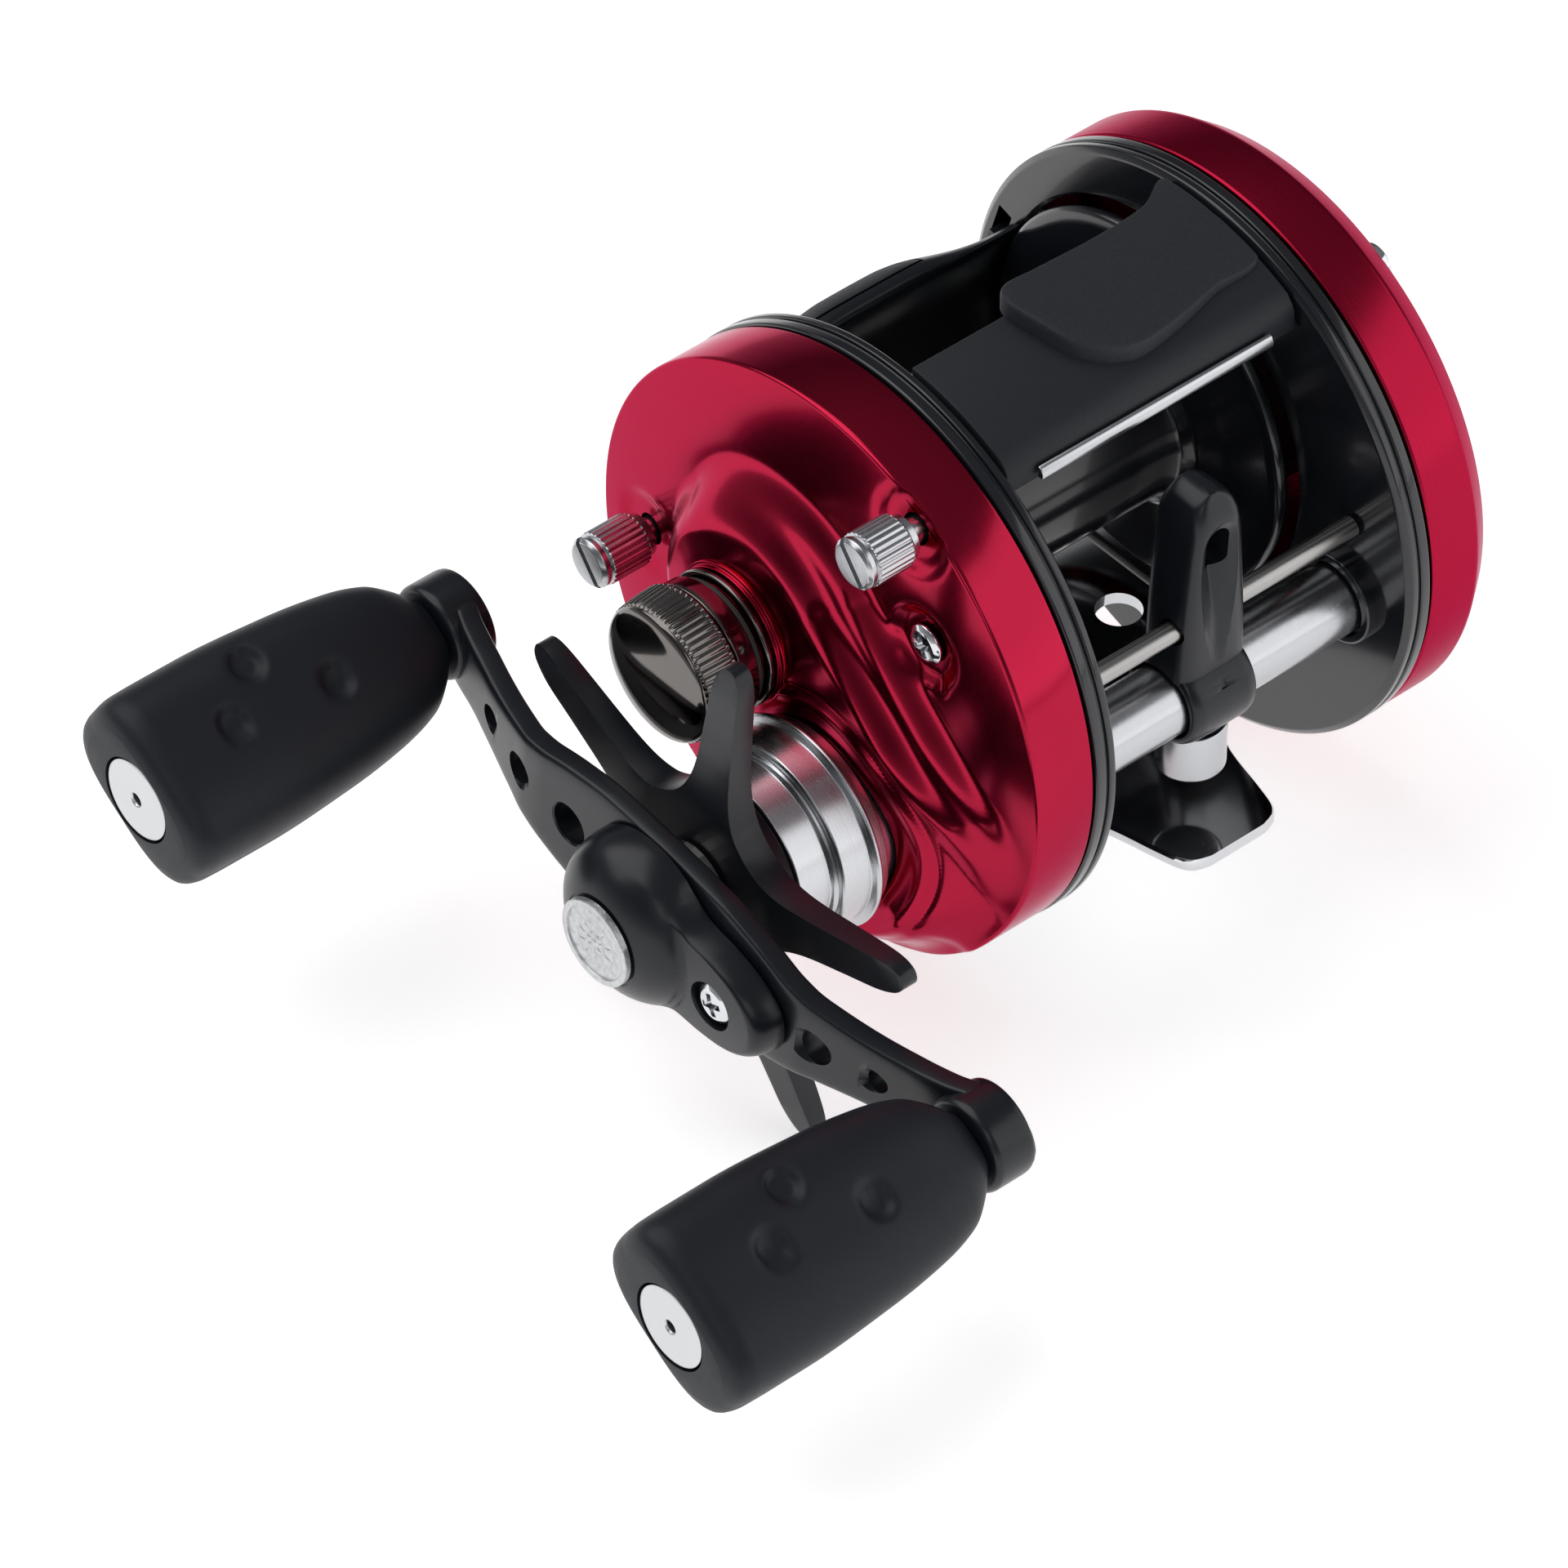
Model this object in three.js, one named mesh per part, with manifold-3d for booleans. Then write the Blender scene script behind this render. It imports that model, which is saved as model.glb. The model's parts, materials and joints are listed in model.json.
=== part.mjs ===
// Round baitcasting reel, in millimetres, +Z up. Lengths below are measured from the axis of the
// round side plates, mid-way between them: x runs along the spool towards the handle, y towards the
// line guide. The finished group is then moved so that its origin lies under the middle of the foot.
import * as THREE from "three";
import { mergeVertices } from "three/addons/utils/BufferGeometryUtils.js";
import Module from "manifold-3d";

const wasm = await Module();
wasm.setup();

// Axes parallel to x, as [y, z].
const PLATE = [0, 0];
const SPOOL = [-4.6, 3.0];
const DRIVE = [5.8, -10.6];
const WORM = [20.0, -3.5];
const ROD = [21.0, 5.0];
const PILLAR = [-21.5, -12.0];
const REAR_SCREW = [-21.3, 0.4];
const TOP_SCREW = [12.1, 22.7];
const CUP_SCREW = [14.4, 11.9];

// Frame.
const RING_RADIUS = 28.1;
const RING_INNER_X = 16.5;
const RING_OUTER_X = 19.0;
const WINDOW_RADIUS = 18.5;
const BAR_HALF = 16.2;
const CUP_RADIUS = 28.0;
const CUP_BORE = 27.1;
const CUP_RIM_X = 19.3;
const FOOT_BOTTOM = -19.7;
const FOOT_TOP = -18.5;
const FOOT_MIDDLE = -4.6;

// Palm-side screws, as an angle from +y and a distance from the plate axis.
const PALM_SCREW_RADIUS = 24;
const PALM_SCREW_ANGLES = { top: 63, rear: 183, low: 303 };

// Gears.
const LEVEL_MODULE = 15.88 * 2 / 53;
const LEVEL_TEETH = [33, 20];
const SPEED_MODULE = 17.12 * 2 / 63;
const SPEED_TEETH = [53, 10];
const ADDENDUM = 0.7;
const DEDENDUM = 1.05;
const TOOTH_SHARE = 0.84;
const PRESSURE_TAN = 0.4;

// Handle: s runs along it from the drive axis, tilt is its angle below +y.
const HANDLE_TILT = -7.34;
const KNOB_S = 35;
const HANDLE_STATIONS = [
  [-39.2, 1.4, 42.6], [-38.4, 2.7, 42.6], [-37, 3.8, 42.7], [-35, 4.3, 42.9], [-31, 3.8, 44.1],
  [-28, 3.5, 45.0], [-25, 3.6, 46.0], [-20, 4.2, 47.6], [-16.5, 5.0, 48.4], [-12, 6.3, 48.4],
  [-7, 7.1, 48.4], [0, 7.4, 48.4], [7, 7.1, 48.4], [12, 6.3, 48.4], [16.5, 5.0, 48.4],
  [20, 4.2, 47.6], [25, 3.6, 46.0], [28, 3.5, 45.0], [31, 3.8, 44.1], [35, 4.3, 42.9],
  [37, 3.8, 42.7], [38.4, 2.7, 42.6], [39.2, 1.4, 42.6],
];
const HANDLE_THICKNESS = 2.4;
const HANDLE_HOLES = [[-24.7, 1.1], [-18.8, 1.5], [-11.4, 2.0], [19.7, 2.0], [25.5, 1.1]];

// Knobs: distance from the outer end, half length and half thickness of the section.
const KNOB_END = 76.1;
const KNOB_STATIONS = [
  [31.2, 3.2, 3.2], [29.6, 4.9, 4.1], [27.5, 6.4, 4.8], [24, 7.4, 5.4], [18, 8.1, 5.8],
  [9, 8.6, 6.0], [2.2, 8.5, 5.9], [0.7, 7.9, 5.3], [0, 6.6, 4.2],
];
const KNOB_LONG = new THREE.Vector3(0, 0.832, -0.555);
const KNOB_FLAT = new THREE.Vector3(0, 0.555, 0.832);
const KNOB_SIDES = 16;
const KNOB_DIMPLES = [[12.9, -4.7], [19.2, 0.25], [8.8, -0.8]];

// Line guide.
const GUIDE_X = 0.8;
const PAWL_X = 0.2;
const PAWL_Y = 19.4;

const ROUND = 28;
const X_AXIS = new THREE.Vector3(1, 0, 0);
const Y_AXIS = new THREE.Vector3(0, 1, 0);
const Z_AXIS = new THREE.Vector3(0, 0, 1);

const FINISHES = {
  red: { color: 0xaa142d, roughness: 0.22, metalness: 0.9 },
  blackGloss: { color: 0x101112, roughness: 0.25, metalness: 0.4 },
  blackSatin: { color: 0x1c1e20, roughness: 0.45, metalness: 0.3 },
  blackMatte: { color: 0x232527, roughness: 0.75, metalness: 0.1 },
  rubber: { color: 0x1d1e20, roughness: 0.85, metalness: 0.0 },
  chrome: { color: 0xcfd2d6, roughness: 0.12, metalness: 1.0 },
  darkChrome: { color: 0x4a4644, roughness: 0.18, metalness: 1.0 },
  steel: { color: 0xa9adb2, roughness: 0.35, metalness: 1.0 },
  aluminium: { color: 0xc4c7ca, roughness: 0.4, metalness: 0.9 },
  brass: { color: 0xb5904a, roughness: 0.35, metalness: 1.0 },
  fibre: { color: 0x2e2b29, roughness: 0.9, metalness: 0.0 },
};

const radians = THREE.MathUtils.degToRad;

// ---- solids -------------------------------------------------------------------------------

// A closed geometry as a solid, with its faces turned outwards.
function toSolid(geometry) {
  const bare = geometry.clone();
  bare.deleteAttribute("normal");
  bare.deleteAttribute("uv");
  const merged = mergeVertices(bare, 1e-4);
  const index = merged.index.array;
  const kept = [];
  for (let i = 0; i < index.length; i += 3) {
    const [a, b, c] = [index[i], index[i + 1], index[i + 2]];
    if (a !== b && b !== c && c !== a) kept.push(a, b, c);
  }
  const build = (triangles) =>
    new wasm.Manifold(
      new wasm.Mesh({
        numProp: 3,
        vertProperties: merged.attributes.position.array,
        triVerts: new Uint32Array(triangles),
      }),
    );
  const made = build(kept);
  return made.volume() > 0 ? made : build(kept.reverse());
}

function toGeometry(solid) {
  const mesh = solid.simplify(0.004).getMesh();
  const geometry = new THREE.BufferGeometry();
  geometry.setAttribute("position", new THREE.BufferAttribute(mesh.vertProperties, 3));
  geometry.setIndex(new THREE.BufferAttribute(mesh.triVerts, 1));
  const faceted = geometry.toNonIndexed();
  faceted.computeVertexNormals();
  return faceted;
}

// A profile of [x, radius] points turned about an axis parallel to x.
function turned(profile, [y, z] = PLATE, segments = ROUND) {
  const last = profile[profile.length - 1];
  const closed = profile[0][1] > 0 || last[1] > 0 ? [...profile, profile[0]] : profile;
  const points = closed.map(([x, r]) => new THREE.Vector2(r, x));
  const geometry = new THREE.LatheGeometry(points, segments);
  geometry.rotateZ(-Math.PI / 2);
  geometry.translate(0, y, z);
  return toSolid(geometry);
}

// A ring or, with no bore, a disc between two x positions.
function collar(from, to, radius, bore, axis = PLATE, segments = ROUND) {
  if (!bore) return turned([[from, 0], [from, radius], [to, radius], [to, 0]], axis, segments);
  return turned([[from, bore], [from, radius], [to, radius], [to, bore]], axis, segments);
}

const rod = (from, to, radius, axis, segments = 18) => collar(from, to, radius, 0, axis, segments);

// An outline extruded from an origin: its points run along u and v, its depth along w.
function extruded(outline, depth, u, v, w, origin = new THREE.Vector3()) {
  const shape = new THREE.Shape(outline.map(([a, b]) => new THREE.Vector2(a, b)));
  const geometry = new THREE.ExtrudeGeometry(shape, { depth, bevelEnabled: false });
  const place = new THREE.Matrix4().makeBasis(u, v, w).setPosition(origin);
  return toSolid(geometry.applyMatrix4(place));
}

const alongX = (outline, from, to) =>
  extruded(outline, to - from, Y_AXIS, Z_AXIS, X_AXIS, new THREE.Vector3(from, 0, 0));
const alongY = (outline, from, to) =>
  extruded(outline, to - from, Z_AXIS, X_AXIS, Y_AXIS, new THREE.Vector3(0, from, 0));
const alongZ = (outline, from, to) =>
  extruded(outline, to - from, X_AXIS, Y_AXIS, Z_AXIS, new THREE.Vector3(0, 0, from));

// A skin over rings of points, closed by a flat fan at each end.
function lofted(rings) {
  const count = rings[0].length;
  const vertices = rings.flat();
  const index = [];
  for (let k = 0; k + 1 < rings.length; k++) {
    for (let i = 0; i < count; i++) {
      const a = k * count + i;
      const b = k * count + ((i + 1) % count);
      index.push(a, b, b + count, a, b + count, a + count);
    }
  }
  const end = (rings.length - 1) * count;
  for (let i = 1; i + 1 < count; i++) {
    index.push(0, i + 1, i, end, end + i, end + i + 1);
  }
  const geometry = new THREE.BufferGeometry().setFromPoints(vertices);
  geometry.setIndex(index);
  return toSolid(geometry.toNonIndexed());
}

const circle = ([a, b], radius, segments = 24) =>
  Array.from({ length: segments }, (_, i) => {
    const angle = (2 * Math.PI * i) / segments;
    return [a + radius * Math.cos(angle), b + radius * Math.sin(angle)];
  });

const arc = ([a, b], radius, fromDegrees, toDegrees, steps) =>
  Array.from({ length: steps + 1 }, (_, i) => {
    const angle = radians(fromDegrees + ((toDegrees - fromDegrees) * i) / steps);
    return [a + radius * Math.cos(angle), b + radius * Math.sin(angle)];
  });

const angleTo = (from, to) => Math.atan2(to[1] - from[1], to[0] - from[0]);
const polar = (radius, degrees) => [
  radius * Math.cos(radians(degrees)),
  radius * Math.sin(radians(degrees)),
];

// The same edge on the other side of the first axis, in the order that closes the outline.
const mirrored = (edge) => edge.map(([a, b]) => [a, -b]).reverse();

const cut = (solid, ...tools) => tools.reduce((made, tool) => made.subtract(tool), solid);
const join = (solid, ...others) => others.reduce((made, other) => made.add(other), solid);

// ---- assembly -----------------------------------------------------------------------------

const reel = new THREE.Group();
reel.name = "baitcasting_reel";
reel.position.set(0, -FOOT_MIDDLE, -FOOT_BOTTOM);

function add(name, solid, finish) {
  const mesh = new THREE.Mesh(toGeometry(solid), new THREE.MeshStandardMaterial(FINISHES[finish]));
  mesh.name = name;
  reel.add(mesh);
}

// ---- frame --------------------------------------------------------------------------------

// The curved slot that the thumb bar's tongues slide in.
const TONGUE_SLOT = [
  [-23.0, 10.7], [-24.6, 11.2], [-26.1, 6.2], [-26.9, 3.2], [-25.2, 2.8], [-24.4, 5.8],
];

function frameRing(side) {
  const inner = side * RING_INNER_X;
  const outer = side * RING_OUTER_X;
  const disc = turned([
    [inner, 0], [inner, RING_RADIUS - 0.4], [inner + side * 0.4, RING_RADIUS],
    [outer, RING_RADIUS], [outer, 0],
  ], PLATE, 44);
  const socket = rod(side * (RING_INNER_X - 1.2), inner + side, 4.4, WORM, 20);
  const through = side * 20;
  const near = side * 15;
  return cut(
    join(disc, socket),
    collar(near, through, WINDOW_RADIUS, 0, SPOOL, 44),
    rod(near, side * 16.6, 3.65, WORM, 20),
    rod(near, through, 1.9, WORM),
    alongX(TONGUE_SLOT, Math.min(near, through), Math.max(near, through)),
  );
}

function palmScrewAxes() {
  return Object.entries(PALM_SCREW_ANGLES).map(([name, angle]) => [
    name,
    polar(PALM_SCREW_RADIUS, angle),
  ]);
}

function handleRing() {
  return cut(frameRing(1), rod(17.2, 20, 1.5, TOP_SCREW));
}

function palmRing() {
  const holes = palmScrewAxes().map(([, axis]) => rod(-17.2, -20, 1.5, axis));
  return cut(frameRing(-1), ...holes);
}

const REST_FRONT_Y = 13.05;

function restSection(radius) {
  return [
    ...arc(PLATE, radius, 64, 87.8, 5),
    ...arc(PLATE, 25.4, 87.6, 62, 5),
    [REST_FRONT_Y, 21.6], [REST_FRONT_Y, 23.9],
  ];
}

// The raised pad's outline seen from above, as [x, y].
const PAD_OUTLINE = [
  [4.6, -0.4], [6.2, 1.6], [5.5, 4.7], [4.5, 7.7], [3.1, 9.2], [1.3, 10.2], [-0.5, 10.8],
  [-4, 10.4], [-7.3, 9.8], [-10.6, 9.2], [-BAR_HALF, 8.4], [-BAR_HALF, -3.45], [-11.8, -1.4],
  [-5.6, -0.65], [0.95, -0.46],
];

function thumbRest() {
  const bar = alongX(restSection(27.9), -BAR_HALF, BAR_HALF);
  const dome = (x, radius) =>
    [...arc(PLATE, radius, 62, 99, 6), ...arc(PLATE, 25.4, 99, 62, 6)]
      .map(([y, z]) => new THREE.Vector3(x, y, z));
  const crown = lofted([dome(-BAR_HALF, 28.3), dome(8, 29.5)]);
  return join(bar, crown.intersect(alongZ(PAD_OUTLINE, 20, 32)));
}

function footTab(direction) {
  const stations = [
    [13, 13.2, 0], [15.2, 12.0, 0.1], [18, 8.9, 0.3], [21.5, 7.2, 0.4], [26.6, 6.0, 0.5],
    [29.2, 5.3, 0.4], [30.1, 3.8, 0.4],
  ];
  const rings = stations.map(([reach, half, arch]) => {
    const y = FOOT_MIDDLE + direction * reach;
    const across = [-1, -0.5, 0, 0.5, 1];
    const lower = across.map((t) =>
      new THREE.Vector3(t * half, y, FOOT_BOTTOM + arch * (1 - t * t)));
    const upper = across.map((t) =>
      new THREE.Vector3(t * (half - 0.25), y, FOOT_TOP + arch * (1 - t * t)));
    return [...lower, ...upper.reverse()];
  });
  return lofted(rings);
}

function reelFoot() {
  const half = BAR_HALF;
  const plate = alongZ([
    [-half, -17], [-half + 1.5, -18.5], [-11, -18.5], [11, -18.5], [half - 1.5, -18.5], [half, -17],
    [half, 9], [half - 1.5, 10.5], [11, 10.5], [-11, 10.5], [-half + 1.5, 10.5], [-half, 9],
  ], FOOT_BOTTOM, FOOT_TOP);
  const hole = (x) => alongZ(circle([x, -2.9], 2.15), FOOT_BOTTOM - 1, FOOT_TOP + 1);
  return cut(join(plate, footTab(1), footTab(-1)), hole(11.8), hole(-11.8));
}

function wormTube() {
  const slot = alongZ([[-13.3, 18.1], [13.3, 18.1], [13.3, 20.7], [-13.3, 20.7]], -7.5, -4);
  return cut(collar(-BAR_HALF, BAR_HALF, 3.3, 2.6, WORM, 24), slot);
}

// ---- side cups ----------------------------------------------------------------------------

// The gear case is one tapered hump: the hull of a cone about each axis that it covers.
function handleCup() {
  const face = turned([
    [CUP_RIM_X, 0], [CUP_RIM_X, CUP_RADIUS], [25.3, CUP_RADIUS], [25.5, 27.8], [26.2, 24],
    [26.6, 17], [26.7, 0],
  ], PLATE, 44);
  const gearCase = turned([
    [24, 0], [24, 20], [25.9, 20], [27.2, 17.2], [28.8, 15], [29.7, 12.8], [30.2, 12.2], [30.2, 0],
  ], DRIVE, 36);
  const spoolCase = turned([
    [24, 0], [24, 15.5], [26.4, 15.5], [28.0, 12.6], [29.8, 10.3], [30.2, 9.6], [30.2, 0],
  ], SPOOL, 28);
  const capBase = turned([
    [30, 0], [30, 8.6], [30.5, 7.5], [31.4, 6.4], [31.4, 5.2], [36.6, 5.2], [36.6, 0],
  ], SPOOL, 28);
  const barrel = rod(CUP_RIM_X, 40, CUP_RADIUS - 0.1, PLATE, 44);
  const hump = wasm.Manifold.hull([gearCase, spoolCase]).intersect(barrel);
  return cut(
    join(face, hump, capBase),
    rod(18, 25.1, CUP_BORE, PLATE, 44),
    rod(24, 28.1, 11.4, DRIVE, 28),
    rod(27, 32, 8.95, DRIVE, 28),
    rod(24, 28.6, 9.9, SPOOL, 28),
    rod(27, 38, 4.3, SPOOL, 20),
    rod(24, 28, 1.5, REAR_SCREW),
    rod(24, 28, 1.5, TOP_SCREW),
    rod(24, 28, 1.4, CUP_SCREW),
    rod(25.7, 28, 2.3, CUP_SCREW),
  );
}

function palmCup() {
  const shell = turned([
    [-CUP_RIM_X, 0], [-CUP_RIM_X, CUP_RADIUS], [-24.5, CUP_RADIUS], [-27.0, 26], [-27.4, 19],
    [-27.6, 0],
  ], PLATE, 44);
  const hollow = turned([
    [-18, 0], [-18, CUP_BORE], [-23.9, CUP_BORE], [-25.8, 25.2], [-26.1, 0],
  ], PLATE, 44);
  const bearingSeat = rod(-26.6, -22.6, 5.6, SPOOL, 20);
  const screws = palmScrewAxes().flatMap(([, axis]) => [
    rod(-30, -25, 1.5, axis),
    rod(-30, -26.5, 2.3, axis),
  ]);
  return cut(join(cut(shell, hollow), bearingSeat), rod(-26, -20, 4.3, SPOOL, 20), ...screws);
}

// A screw with a crossed round head; its shank runs from under the head to the tip.
function screw(axis, headEnd, headBase, tip, headRadius, shankRadius) {
  const side = Math.sign(headEnd - tip);
  const head = turned([
    [headBase, 0], [headBase, headRadius], [headEnd - side * 0.4, headRadius],
    [headEnd, headRadius * 0.75], [headEnd, 0],
  ], axis, 16);
  const shank = rod(tip, headBase + side * 0.1, shankRadius, axis, 12);
  const reach = headRadius * 0.65;
  return cut(
    join(head, shank),
    slot(axis, headEnd, 0, 0.5, reach),
    slot(axis, headEnd, 90, 0.5, reach),
  );
}

// A straight slot in a face that looks along x, centred on an axis.
function slot([y, z], faceX, degrees, width, reach) {
  const along = new THREE.Vector3(0, Math.cos(radians(degrees)), Math.sin(radians(degrees)));
  const across = new THREE.Vector3(0, -Math.sin(radians(degrees)), Math.cos(radians(degrees)));
  const depth = 1.1;
  const outline = [[-reach, -width / 2], [reach, -width / 2], [reach, width / 2], [-reach, width / 2]];
  return extruded(outline, depth, along, across, X_AXIS, new THREE.Vector3(faceX - depth / 2, y, z));
}

// A thumbscrew: a slotted round head with a flat end, and its plain shank.
function thumbscrew(axis, headBase, headEnd, tip) {
  const head = turned([
    [headBase, 0], [headBase, 2.0], [headBase + 0.9, 2.5], [headEnd - 1.1, 2.5],
    [headEnd - 0.9, 2.3], [headEnd - 0.3, 2.3], [headEnd, 2.0], [headEnd, 0],
  ], axis, 20);
  const shank = rod(tip, headBase + 0.1, 1.15, axis, 12);
  return cut(join(head, shank), slot(axis, headEnd, -20, 0.6, 3));
}

// ---- gears --------------------------------------------------------------------------------

function gear(teeth, module, axis, phase, from, to) {
  const pitch = (module * teeth) / 2;
  const tip = pitch + ADDENDUM * module;
  const root = pitch - DEDENDUM * module;
  const half = (Math.PI * module * TOOTH_SHARE) / 4;
  const tipHalf = (half - ADDENDUM * module * PRESSURE_TAN) / tip;
  const rootHalf = (half + DEDENDUM * module * PRESSURE_TAN) / root;
  const outline = Array.from({ length: teeth }, (_, k) => {
    const centre = phase + (2 * Math.PI * k) / teeth;
    return [[root, -rootHalf], [tip, -tipHalf], [tip, tipHalf], [root, rootHalf]].map(
      ([radius, offset]) => [
        axis[0] + radius * Math.cos(centre + offset),
        axis[1] + radius * Math.sin(centre + offset),
      ],
    );
  });
  return alongX(outline.flat(), from, to);
}

// Phase that puts a tooth, or for the meshing gear a gap, on the line between the two axes.
const toothPhase = (from, to) => angleTo(from, to);
const gapPhase = (from, to, teeth) => angleTo(from, to) + Math.PI / teeth;

function pinionGear() {
  const phase = gapPhase(SPOOL, DRIVE, SPEED_TEETH[1]);
  const teeth = gear(SPEED_TEETH[1], SPEED_MODULE, SPOOL, phase, 20.4, 25);
  const neck = rod(24.9, 26.4, 2.0, SPOOL);
  const shoulder = rod(26.2, 26.8, 2.9, SPOOL);
  return cut(join(teeth, neck, shoulder), rod(20, 28, 1.6, SPOOL));
}

// Directions along and across the pinion yoke, as seen along x.
const YOKE_ANGLE = angleTo(DRIVE, SPOOL) - Math.PI / 2;
const YOKE_PIN_REACH = 7.2;

function yokePoint(along, across) {
  const [c, s] = [Math.cos(YOKE_ANGLE), Math.sin(YOKE_ANGLE)];
  return [SPOOL[0] + along * c - across * s, SPOOL[1] + along * s + across * c];
}

function bridgePlate() {
  const plate = rod(21, 22, 24.3, PLATE, 32);
  const posts = [[-14, -18.5], [3, 21.5], [20, 8]].map((axis) => rod(19.3, 21.2, 1.5, axis, 10));
  const pins = [-1, 1].map((end) => rod(21.8, 28.3, 0.6, yokePoint(end * YOKE_PIN_REACH, 0), 8));
  return cut(
    join(plate, ...posts, ...pins),
    rod(20, 23, 4.2, SPOOL),
    rod(20, 23, 3.0, DRIVE),
    rod(20, 23, 1.9, WORM),
    rod(20, 23, 1.5, REAR_SCREW),
    rod(20, 23, 1.4, CUP_SCREW),
  );
}

function pinionYoke() {
  const outline = [
    [-8.7, -1.6], [-7.2, -2.6], [-4.6, -4.2], [4.6, -4.2], [7.2, -2.6], [8.7, -1.6], [8.7, 1.6],
    [7.2, 2.6], [4.6, 3.6], [2.35, 3.8], [2.35, 0], ...arc([0, 0], 2.35, -20, -160, 6), [-2.35, 0],
    [-2.35, 3.8], [-4.6, 3.6], [-7.2, 2.6], [-8.7, 1.6],
  ];
  const plate = alongX(outline.map(([a, b]) => yokePoint(a, b)), 25.2, 26.0);
  const holes = [-1, 1].map((end) => rod(24, 28, 0.95, yokePoint(end * YOKE_PIN_REACH, 0), 10));
  return cut(plate, ...holes);
}

// ---- handle -------------------------------------------------------------------------------

const HANDLE_DIRECTION = polar(1, HANDLE_TILT);

// The [y, z] of a point s along the handle and n across it.
function onHandle(s, n = 0) {
  const [c, d] = HANDLE_DIRECTION;
  return [DRIVE[0] + s * c - n * d, DRIVE[1] + s * d + n * c];
}

function handlePlate() {
  const chamfer = 0.5;
  const rings = HANDLE_STATIONS.map(([s, half, front]) => {
    const back = front - HANDLE_THICKNESS;
    return [
      [back, half - chamfer], [back + chamfer, half], [front - chamfer, half], [front, half - chamfer],
      [front, -half + chamfer], [front - chamfer, -half], [back + chamfer, -half], [back, -half + chamfer],
    ].map(([x, n]) => new THREE.Vector3(x, ...onHandle(s, n)));
  });
  const bosses = [-KNOB_S, KNOB_S].map((s) => turned([
    [40.4, 0], [40.4, 4.0], [40.9, 4.5], [44.1, 4.5], [44.6, 4.0], [44.6, 0],
  ], onHandle(s), 20));
  const holes = HANDLE_HOLES.map(([s, radius]) => rod(40, 52, radius, onHandle(s), 14));
  const posts = [-KNOB_S, KNOB_S].map((s) => rod(40, 46, 2.2, onHandle(s), 14));
  return cut(
    join(lofted(rings), ...bosses),
    ...holes,
    ...posts,
    rod(44, 50, 2.95, DRIVE),
    rod(44, 50, 1.2, onHandle(11), 12),
  );
}

function nutCover() {
  const dome = turned([
    [48.7, 0], [48.7, 8], [50.8, 7.9], [53.2, 7.0], [54.7, 5.4], [55.1, 4.7], [55.1, 0],
  ], DRIVE);
  const lobe = alongX([
    onHandle(0, 6.6), onHandle(6, 6.1), onHandle(11, 4.9), onHandle(14.6, 3.6), onHandle(16.6, 1.9),
    onHandle(17.1, 0), onHandle(16.6, -1.9), onHandle(14.6, -3.6), onHandle(11, -4.9),
    onHandle(6, -6.1), onHandle(0, -6.6),
  ], 48.7, 51.7);
  return cut(
    join(dome, lobe),
    rod(48, 52.6, 5.5, DRIVE),
    rod(54.2, 56, 4.45, DRIVE, 24),
    rod(48, 52, 1.2, onHandle(11), 12),
    rod(50.6, 53, 2.4, onHandle(11)),
  );
}

function hexNut() {
  return cut(alongX(circle(DRIVE, 4.7, 6), 48.7, 51.3), rod(48, 52, 2.95, DRIVE));
}

// ---- star drag ----------------------------------------------------------------------------

const STAR_ARMS = 5;
const STAR_PHASE = 12;
const ARM_HALF_OUTLINE = [
  [9.2, 4.6], [10.4, 3.4], [13, 2.6], [18, 2.4], [22.5, 2.2], [24.4, 1.6], [25, 0.6],
];

function starDrag() {
  const arm = [...ARM_HALF_OUTLINE, ...mirrored(ARM_HALF_OUTLINE)].reverse();
  const outline = Array.from({ length: STAR_ARMS }, (_, k) => {
    const [c, s] = polar(1, STAR_PHASE + (360 / STAR_ARMS) * k);
    return arm.map(([r, w]) => [DRIVE[0] + r * c - w * s, DRIVE[1] + r * s + w * c]);
  });
  const hub = turned([
    [39.4, 0], [39.4, 9.0], [43.0, 9.4], [43.6, 8.6], [43.6, 0],
  ], DRIVE);
  return cut(join(alongX(outline.flat(), 40.7, 42.9), hub), rod(39, 44, 2.95, DRIVE));
}

// ---- knobs --------------------------------------------------------------------------------

function knob(s) {
  const [y, z] = onHandle(s);
  const centre = new THREE.Vector3(0, y, z);
  const rings = KNOB_STATIONS.map(([depth, long, flat]) =>
    Array.from({ length: KNOB_SIDES }, (_, i) => {
      const angle = (2 * Math.PI * (i + 0.5)) / KNOB_SIDES;
      const power = 0.7;
      const u = Math.sign(Math.cos(angle)) * Math.abs(Math.cos(angle)) ** power * long;
      const v = Math.sign(Math.sin(angle)) * Math.abs(Math.sin(angle)) ** power * flat;
      return new THREE.Vector3(KNOB_END - depth, 0, 0)
        .add(centre)
        .addScaledVector(KNOB_LONG, u)
        .addScaledVector(KNOB_FLAT, v);
    }));
  const dimples = KNOB_DIMPLES.map(([depth, offset]) => {
    const origin = new THREE.Vector3(KNOB_END - depth, y, z)
      .addScaledVector(KNOB_LONG, offset)
      .addScaledVector(KNOB_FLAT, 5.3);
    return extruded(circle([0, 0], 1.7, 10), 3, X_AXIS, KNOB_LONG, KNOB_FLAT, origin);
  });
  return cut(
    lofted(rings),
    rod(44, 75.2, 2.35, [y, z], 14),
    rod(75.1, 77, 4.2, [y, z], 20),
    ...dimples,
  );
}

// ---- thumb bar ----------------------------------------------------------------------------

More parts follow.
